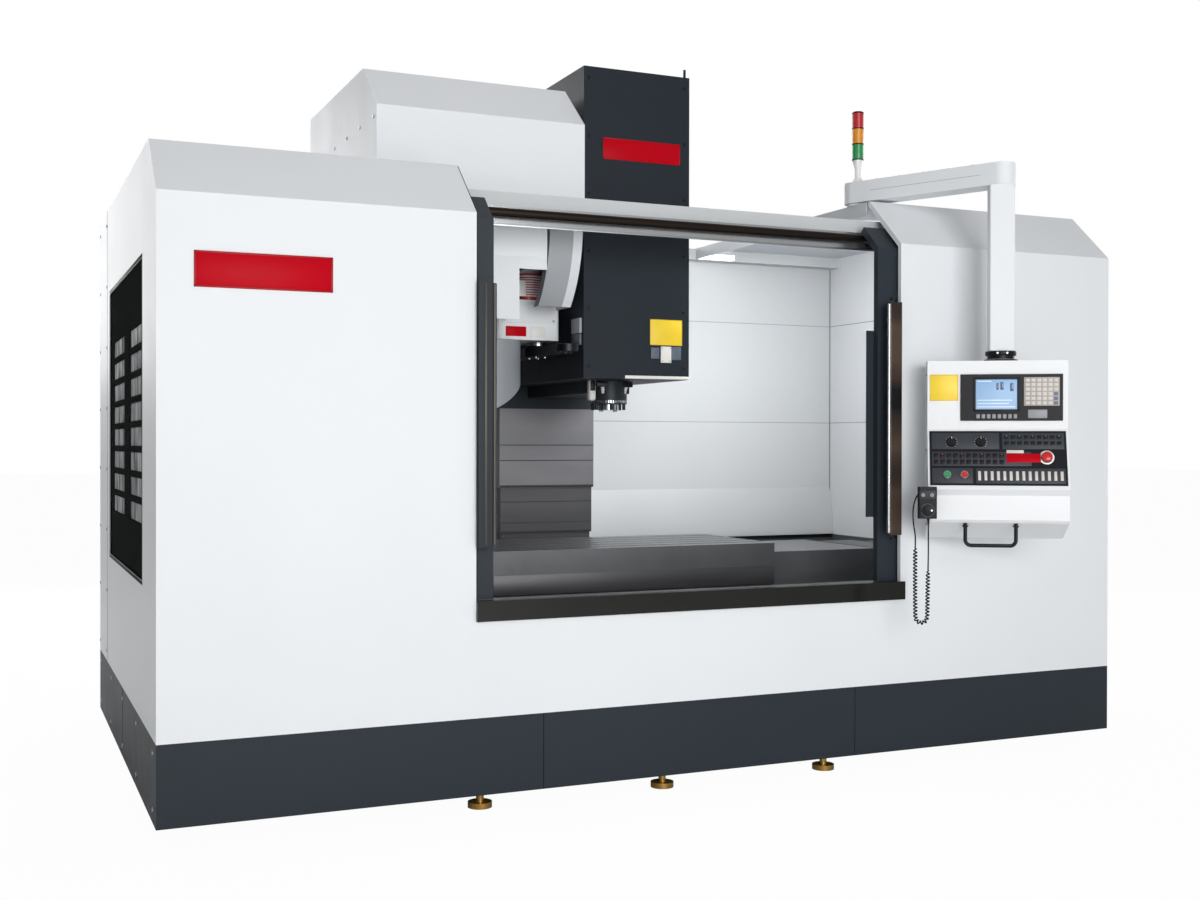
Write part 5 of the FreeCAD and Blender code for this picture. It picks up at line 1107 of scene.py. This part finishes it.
screws("console_back_screws", screw_zinc, "console", 0.006, (0, 1, 0),
       (-0.20, 0.0595, 1.13), (0.175, 0, 0), 3, (0, 0, 0.26), 3, desk)
for label, x in (("handle_foot_84", -0.158), ("handle_foot_104", 0.048)):
    turned(label, handle_black, "console",
           [(0.0125, 0.0), (0.0125, 0.004), (0.010, 0.007), (0.0082, 0.008)],
           desk @ Vector((x, -0.144, 1.062)), (0, 0, -1), 24)

# ---- Control unit ------------------------------------------------------------------------------
# The unit has a bright screen with a row of soft keys below it, and at its right a pale keypad of
# square keys. Screen and keypad sit in a black moulded bezel.
bezel_face = -0.120
screen_glow = Finish("screen_glow", "6E8FB2", 0.3, Emission_Strength=0.4, Specular_IOR_Level=0.2)
screen_rise = screen_glow.along("Z") - 1.55
screen_glow.vary(Emission_Color=screen_glow.blend(screen_rise * 6.0, "C9DCEC", "8FB4DE"))
blocks("screen_pane", screen_glow, "console",
       [((-0.1145, bezel_face + 0.0012, 1.5515), (0.0545, bezel_face + 0.003, 1.6775))], 0.0008,
       desk)
screen_ink = grained("screen_ink", "33506F", 0.2, 300.0, 0.02, 0.0001, Emission_Strength=0.2,
                     Emission_Color=linear("33506F"))
screen_pale = grained("screen_pale", "9DB4CC", 0.3, 300.0, 0.02, 0.0001, Emission_Strength=0.45,
                      Emission_Color=linear("E4EEF7"))
blocks("screen_marks", screen_ink, "console",
       [((x0, bezel_face + 0.0008, z0), (x1, bezel_face + 0.0016, z1))
        for x0, x1, z0, z1 in ((-0.030, -0.020, 1.634, 1.662), (-0.014, 0.000, 1.634, 1.666),
                               (0.026, 0.040, 1.628, 1.662))], 0.0003, desk)
blocks("screen_bars", screen_pale, "console",
       [((-0.108, bezel_face + 0.0008, z), (x, bezel_face + 0.0016, z + 0.004))
        for z, x in ((1.560, 0.046), (1.574, 0.02), (1.588, 0.034), (1.668, -0.05))], 0.0003, desk)
blocks("screen_frame", bezel, "console",
       rim_bars((-0.124, bezel_face, 1.5425), (0.064, bezel_face, 1.6865), 0.003, 0.001, 0.0095,
                0.009), 0.002, desk)
key_grey = grained("key_grey", "8E9094", 0.46, 500.0, 0.1, 0.0002)
key_pale = grained("key_pale", "CFC9C3", 0.46, 500.0, 0.1, 0.0002)
key_dark = grained("key_dark", "3A3D43", 0.44, 500.0, 0.1, 0.0002, Specular_IOR_Level=0.2)
key_blue = grained("key_blue_grey", "5A6C84", 0.44, 500.0, 0.1, 0.0002)


def keys(name, finish, size, start, step, across, rows, place, body="console", rise=0.003):
    """Rows of domed square keys on a face towards -y."""
    key = bmesh.new()
    wide, high = size
    add_block(key, (-wide / 2, -rise, -high / 2), (wide / 2, 0.0005, high / 2), min(size) * 0.16, 2)
    repeated(name, finish, body, key, start, (step[0], 0, 0), across, (0, 0, step[1]), rows, place)


keypad_base = grained("keypad_base", "A9A29C", 0.5, 400.0, 0.1, 0.0002)
keys("soft_keys", key_grey, (0.014, 0.018), (-0.105, bezel_face, 1.522), (0.0217, 0), 8, 1, desk)
blocks("keypad_field", keypad_base, "console",
       [((0.082, bezel_face - 0.0012, 1.566), (0.226, bezel_face + 0.001, 1.686))], 0.0012, desk)
keypad_key, keypad_step = (0.0165, 0.0135), (0.0230, 0.0193)
keys("keypad_keys", key_pale, keypad_key, (0.0965, bezel_face - 0.0012, 1.5775), keypad_step,
     6, 6, desk, rise=0.0025)
keys("keypad_blue_keys", key_blue, keypad_key, (0.2115, bezel_face - 0.0014, 1.5775), keypad_step,
     1, 3, desk, rise=0.0027)
blocks("port_lid", key_grey, "console",
       [((0.098, bezel_face - 0.003, 1.514), (0.176, bezel_face, 1.550)),
        ((0.118, bezel_face - 0.0045, 1.522), (0.152, bezel_face, 1.542))], 0.002, desk)
foil_plate("console_plate", (-0.303, -0.114, 1.588), (-0.186, -0.114, 1.699), "console", desk)

# ---- Machine panel -----------------------------------------------------------------------------
# The sloping panel has a printed film, rows of keys with small lamps, two override knobs, start
# and hold buttons, and a red mushroom stop on a pale collar.
slope_run, slope_drop = 0.080, 0.255
keyboard = (desk @ Matrix.Translation((0, -0.114, 1.470))
            @ Matrix.Rotation(-math.atan2(slope_run, slope_drop), 4, "X"))
film = -0.004
field = film - 0.0008
blocks("panel_fields", key_dark, "console",
       [((x0, field, z0), (x1, film + 0.0005, z1))
        for x0, x1, z0, z1 in ((-0.296, -0.020, -0.092, -0.020), (-0.008, 0.242, -0.092, -0.020),
                               (-0.296, 0.108, -0.166, -0.104), (-0.296, -0.130, -0.242, -0.176),
                               (-0.118, 0.242, -0.242, -0.176))], 0.0006, keyboard)
for name, finish, size, start, step, across, rows in (
        ("panel_keys_high", bezel, (0.019, 0.016), (0.010, field, -0.040), (0.0265, -0.026), 9, 2),
        ("panel_keys_middle", bezel, (0.019, 0.020), (-0.280, field, -0.121), (0.0268, -0.028), 11,
         2),
        ("panel_keys_tall", key_pale, (0.012, 0.040), (-0.104, field, -0.209), (0.0255, 0), 14, 1)):
    keys(name, finish, size, start, step, across, rows, keyboard)
lamp_green = grained("key_lamp_green", "2E9E57", 0.3, 600.0, 0.03, 0.0001, Emission_Strength=0.5,
                     Emission_Color=linear("2E9E57"))
lamp_red = grained("key_lamp_red", "C22A22", 0.3, 600.0, 0.03, 0.0001, Emission_Strength=0.5,
                   Emission_Color=linear("C22A22"))
key_face = film - 0.0038
for name, finish, start, step in (
        ("panel_lamps_high", lamp_green, (0.010, key_face, -0.035), (0.053, 0)),
        ("panel_lamps_middle", lamp_red, (-0.2532, key_face, -0.115), (0.0804, 0))):
    keys(name, finish, (0.005, 0.003), start, step, 5, 1, keyboard, rise=0.0006)
blocks("panel_red_strip", red_acrylic, "console",
       [((0.008, film - 0.002, -0.150), (0.146, film, -0.112))], 0.001, keyboard)
blocks("panel_pale_strip", key_pale, "console",
       [((0.008, film - 0.0028, -0.110), (0.078, film, -0.096))], 0.001, keyboard)


def control(name, finish, profile, spot, body, crisp=35.0):
    """Turned control on the sloping panel, standing out of it."""
    turned(name, finish, body, profile, keyboard @ Vector(spot),
           keyboard.to_3x3() @ Vector((0, -1, 0)), 40, crisp)


knob_black = grained("knob_black", "141517", 0.4, 260.0, 0.16, Specular_IOR_Level=0.2)
pointer_white = grained("pointer_white", "EDEDEB", 0.4, 300.0, 0.05, 0.0002)
knob_height, mark_count = -0.062, 11
for name, x in (("feed_knob", -0.215), ("spindle_knob", -0.095)):
    finish_node(name, knob_black)
    control(name + "_skirt", knob_black,
            [(0.0, 0.0), (0.0196, 0.0), (0.0200, 0.001), (0.0196, 0.004), (0.0192, 0.0145),
             (0.0182, 0.0152), (0.0, 0.0152)], (x, film - 0.0006, knob_height), name)
    blocks(name + "_pointer", pointer_white, name,
           [((x - 0.001, film - 0.0212, -0.052), (x + 0.001, film - 0.0204, -0.0446))], 0.0003,
           keyboard)
    scale = bmesh.new()
    for k in range(mark_count):
        mark = bmesh.new()
        add_block(mark, (-0.0006, -0.0014, 0.0225), (0.0006, -0.0006, 0.0262), 0.0002, 1)
        turn = Matrix.Rotation(math.radians(-135 + 27 * k), 4, "Y")
        bmesh.ops.transform(mark, verts=mark.verts,
                            matrix=Matrix.Translation((x, film, knob_height)) @ turn)
        mark_mesh = bpy.data.meshes.new("mark")
        mark.to_mesh(mark_mesh)
        mark.free()
        scale.from_mesh(mark_mesh)
        bpy.data.meshes.remove(mark_mesh)
    piece(scale, name + "_scale", pointer_white, "console", keyboard)
green_cap = grained("green_cap", "1F8E4B", 0.3, 200.0, 0.04, 0.0002, Coat_Weight=0.3)
red_cap = grained("red_cap", "C0141C", 0.3, 200.0, 0.04, 0.0002, Coat_Weight=0.4)
finish_node("start_button", green_cap)
finish_node("hold_button", red_cap)
for name, x in (("start", -0.235), ("hold", -0.165)):
    control(name + "_collar", nose_steel,
            [(0.0138, 0.0), (0.0182, 0.0), (0.0186, 0.001), (0.0180, 0.005), (0.0160, 0.0075),
             (0.0138, 0.0075), (0.0138, 0.0)], (x, film, -0.205), "console")
finish_node("emergency_stop", red_cap)
control("stop_mushroom", red_cap,
        [(0.0, 0.0), (0.0212, 0.0), (0.0220, 0.0012), (0.0222, 0.005), (0.0212, 0.0090),
         (0.0180, 0.0120), (0.0110, 0.0136), (0.0, 0.0140)],
        (0.170, film - 0.0064, -0.128), "emergency_stop", 60.0)
control("stop_collar", pointer_white,
        [(0.0236, 0.0), (0.0300, 0.0), (0.0302, 0.0008), (0.0285, 0.0016), (0.0236, 0.0016),
         (0.0236, 0.0)], (0.170, film, -0.128), "console")

# ---- Hand wheel pendant ------------------------------------------------------------------------
# The pendant is moulded black plastic and hangs on the console by a hook. Its dial clicks round
# beneath two small grey selectors.
finish_node("pendant", knob_black)
finish_node("pendant_dial", swivel_black)
selector_grey = grained("selector_grey", "85888B", 0.42, 260.0, 0.12)
for name in ("axis_selector", "step_selector"):
    finish_node(name, selector_grey)


def on_pendant(name, finish, profile, spot, body, steps=36):
    """Turned piece on the pendant's face, from millimetres in the console's frame."""
    turned(name, finish, body, profile, desk @ (Vector(spot) / 1000),
           desk.to_3x3() @ Vector((0, -1, 0)), steps)


on_pendant("dial_rim", nose_steel,
           [(0.0200, 0.0), (0.0278, 0.0), (0.0282, 0.001), (0.0282, 0.003), (0.0270, 0.0040),
            (0.0200, 0.0040)], (-319, -236.6, 1128), "pendant_dial")
on_pendant("dial_face", bezel,
           [(0.0, 0.0), (0.0210, 0.0), (0.0210, 0.0016), (0.0195, 0.0022), (0.0, 0.0022)],
           (-319, -246.4, 1128), "pendant_dial")
on_pendant("dial_crank", nose_steel,
           [(0.0, 0.0), (0.0052, 0.0), (0.0052, 0.006), (0.0040, 0.0082), (0.0, 0.0084)],
           (-303, -246.6, 1128), "pendant_dial", 20)
for name, x in (("axis_selector", -337), ("step_selector", -301)):
    on_pendant(name + "_skirt", selector_grey,
               [(0.0, 0.0), (0.0086, 0.0), (0.0088, 0.001), (0.0082, 0.009), (0.0074, 0.0104),
                (0.0, 0.0104)], (x, -236.6, 1192), name, 24)
blocks("pendant_field", key_dark, "console",
       [((-0.352, -0.2368, 1.176), (-0.286, -0.2352, 1.209))], 0.0005, desk)
blocks("pendant_seam", seam_dark, "console",
       [((x - 0.0006, -0.2180, 1.100), (x + 0.0006, -0.2168, 1.220)) for x in (-0.358, -0.280)],
       0.0002, desk)

# ---- Electrical cabinet ------------------------------------------------------------------------
# The cabinet on the back is a white sheet case. Its two doors hang on outside hinges and have
# quarter-turn locks, a bare yellow field and louvres at the top.
finish_node("electrical_cabinet", white_coat)
cabinet_low, cabinet_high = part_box("electrical_cabinet")
cabinet_middle = (cabinet_low.x + cabinet_high.x) / 2
door_y = cabinet_high.y
blocks("cabinet_door_gap", seam_dark, "machine",
       [((cabinet_middle - 0.002, door_y - 0.004, cabinet_low.z + 0.02),
         (cabinet_middle + 0.002, door_y + 0.0002, cabinet_high.z - 0.02))], 0.0002)
hinge = lathe_form([(0.0, 0.0), (0.009, 0.0), (0.009, 0.07), (0.0, 0.07)], (0, 0, 0), (0, 0, 1), 16)
repeated("cabinet_hinges", screw_zinc, "machine", hinge,
         (cabinet_low.x + 0.010, door_y - 0.014, cabinet_low.z + 0.2),
         (cabinet_high.x - cabinet_low.x - 0.02, 0, 0), 2, (0, 0, 0.71), 3)
lock = lathe_form([(0.017, -0.002), (0.017, 0.0), (0.013, -0.0008), (0.0, -0.0008)],
                  (0, 0, 0), (0, 1, 0), 24)
repeated("cabinet_locks", swivel_black, "machine", lock,
         (cabinet_middle - 0.055, door_y - 0.0002, cabinet_low.z + 0.35), (0.11, 0, 0), 2,
         (0, 0, 0.6), 3)
field_spot = Vector((cabinet_middle + 0.36, door_y, cabinet_low.z + 1.30))
blocks("switch_plate", yellow_foil, "machine",
       [(field_spot + Vector((-0.035, -0.002, -0.035)),
         field_spot + Vector((0.035, 0.0004, 0.035)))], 0.001)
louvre_count, louvre_pitch = 14, 0.022
blocks("cooler_louvres", key_dark, "machine",
       [((cabinet_low.x + 0.12, door_y - 0.003, z),
         (cabinet_low.x + 0.40, door_y + 0.0003, z + 0.010))
        for z in (cabinet_low.z + 1.25 + louvre_pitch * k for k in range(louvre_count))], 0.0012)

# ---- Coolant tank ------------------------------------------------------------------------------
# The tank is welded dark sheet on castors and rolls out at the back. Two pumps with finned motors
# stand on its lid.
finish_node("coolant_tank", pan_sheet)
pump_grey = Finish("pump_coat", "5E6870", 0.42)
pump_grey.cloud("57616A", "6A747C", 6.0, 3.0)
pump_grey.bump(pump_grey.noise(200.0), 0.1, 0.0004)
pump = ([(0.0, 0.0), (0.0765, 0.0), (0.0765, 0.052), (0.070, 0.0605), (0.0635, 0.0605)]
        + ribbed(14, 0.011, [(0.0640, 0.072), (0.0640, 0.077), (0.0622, 0.0775), (0.0622, 0.0825)])
        + [(0.0645, 0.236), (0.0645, 0.300), (0.058, 0.3195), (0.0, 0.3198)])
for k, x in enumerate((-1700, -1400)):
    turned("pump_%d" % k, pump_grey, "machine", pump, at(x, 2700, 330), (0, 0, 1), 40)
    blocks("pump_box_%d" % k, pump_grey, "machine",
           [(at(x - 30, 2755, 470), at(x + 30, 2790, 550))], 0.005)
blocks("tank_lids", pan_sheet, "machine",
       [(at(-1880, 2470, 329.5), at(-1110, 2620, 333)),
        (at(-1880, 2625, 329.5), at(-1790, 2840, 333)),
        (at(-1300, 2625, 329.5), at(-1110, 2840, 333))], 0.001)
screws("tank_lid_screws", screw_zinc, "machine", 0.006, (0, 0, 1),
       at(-1865, 2485, 333), (0.148, 0, 0), 6, (0, 0.12, 0), 2)

# ---- Cord finish -------------------------------------------------------------------------------
# The cord's jacket is soft black polyurethane with a dull sheen and faint mould marks. Short
# ribbed sleeves guard it where it enters the console and the pendant.
cord_black = grained("cord_jacket", "0E0F10", 0.46, 700.0, 0.15, 0.0002, Specular_IOR_Level=0.15)
cord_black.vary(Roughness=0.36 + cord_black.noise(60.0, 3.0) * 0.14)
pendant_cord.data.materials.append(cord_black.material)


def cord_sleeve(name, start, heading):
    """Ribbed strain relief, narrowing along the cord."""
    ribs = [(0.0062, 0.0), (0.0062, 0.003)]
    for k in range(6):
        wide = 0.0058 - 0.0004 * k
        ribs += [(wide, 0.004 + 0.0042 * k), (wide, 0.0062 + 0.0042 * k),
                 (wide - 0.0012, 0.0068 + 0.0042 * k), (wide - 0.0012, 0.0078 + 0.0042 * k)]
    turned(name, cord_black, "console", ribs, start, heading, 20)


cord_sleeve("cord_sleeve_console", desk @ Vector((-0.3125, -0.158, 1.205)),
            desk.to_3x3() @ Vector((-1, 0, 0)))
cord_sleeve("cord_sleeve_pendant", desk @ Vector((-0.314, -0.217, 1.0935)), (0, 0, -1))

bpy.context.view_layer.update()
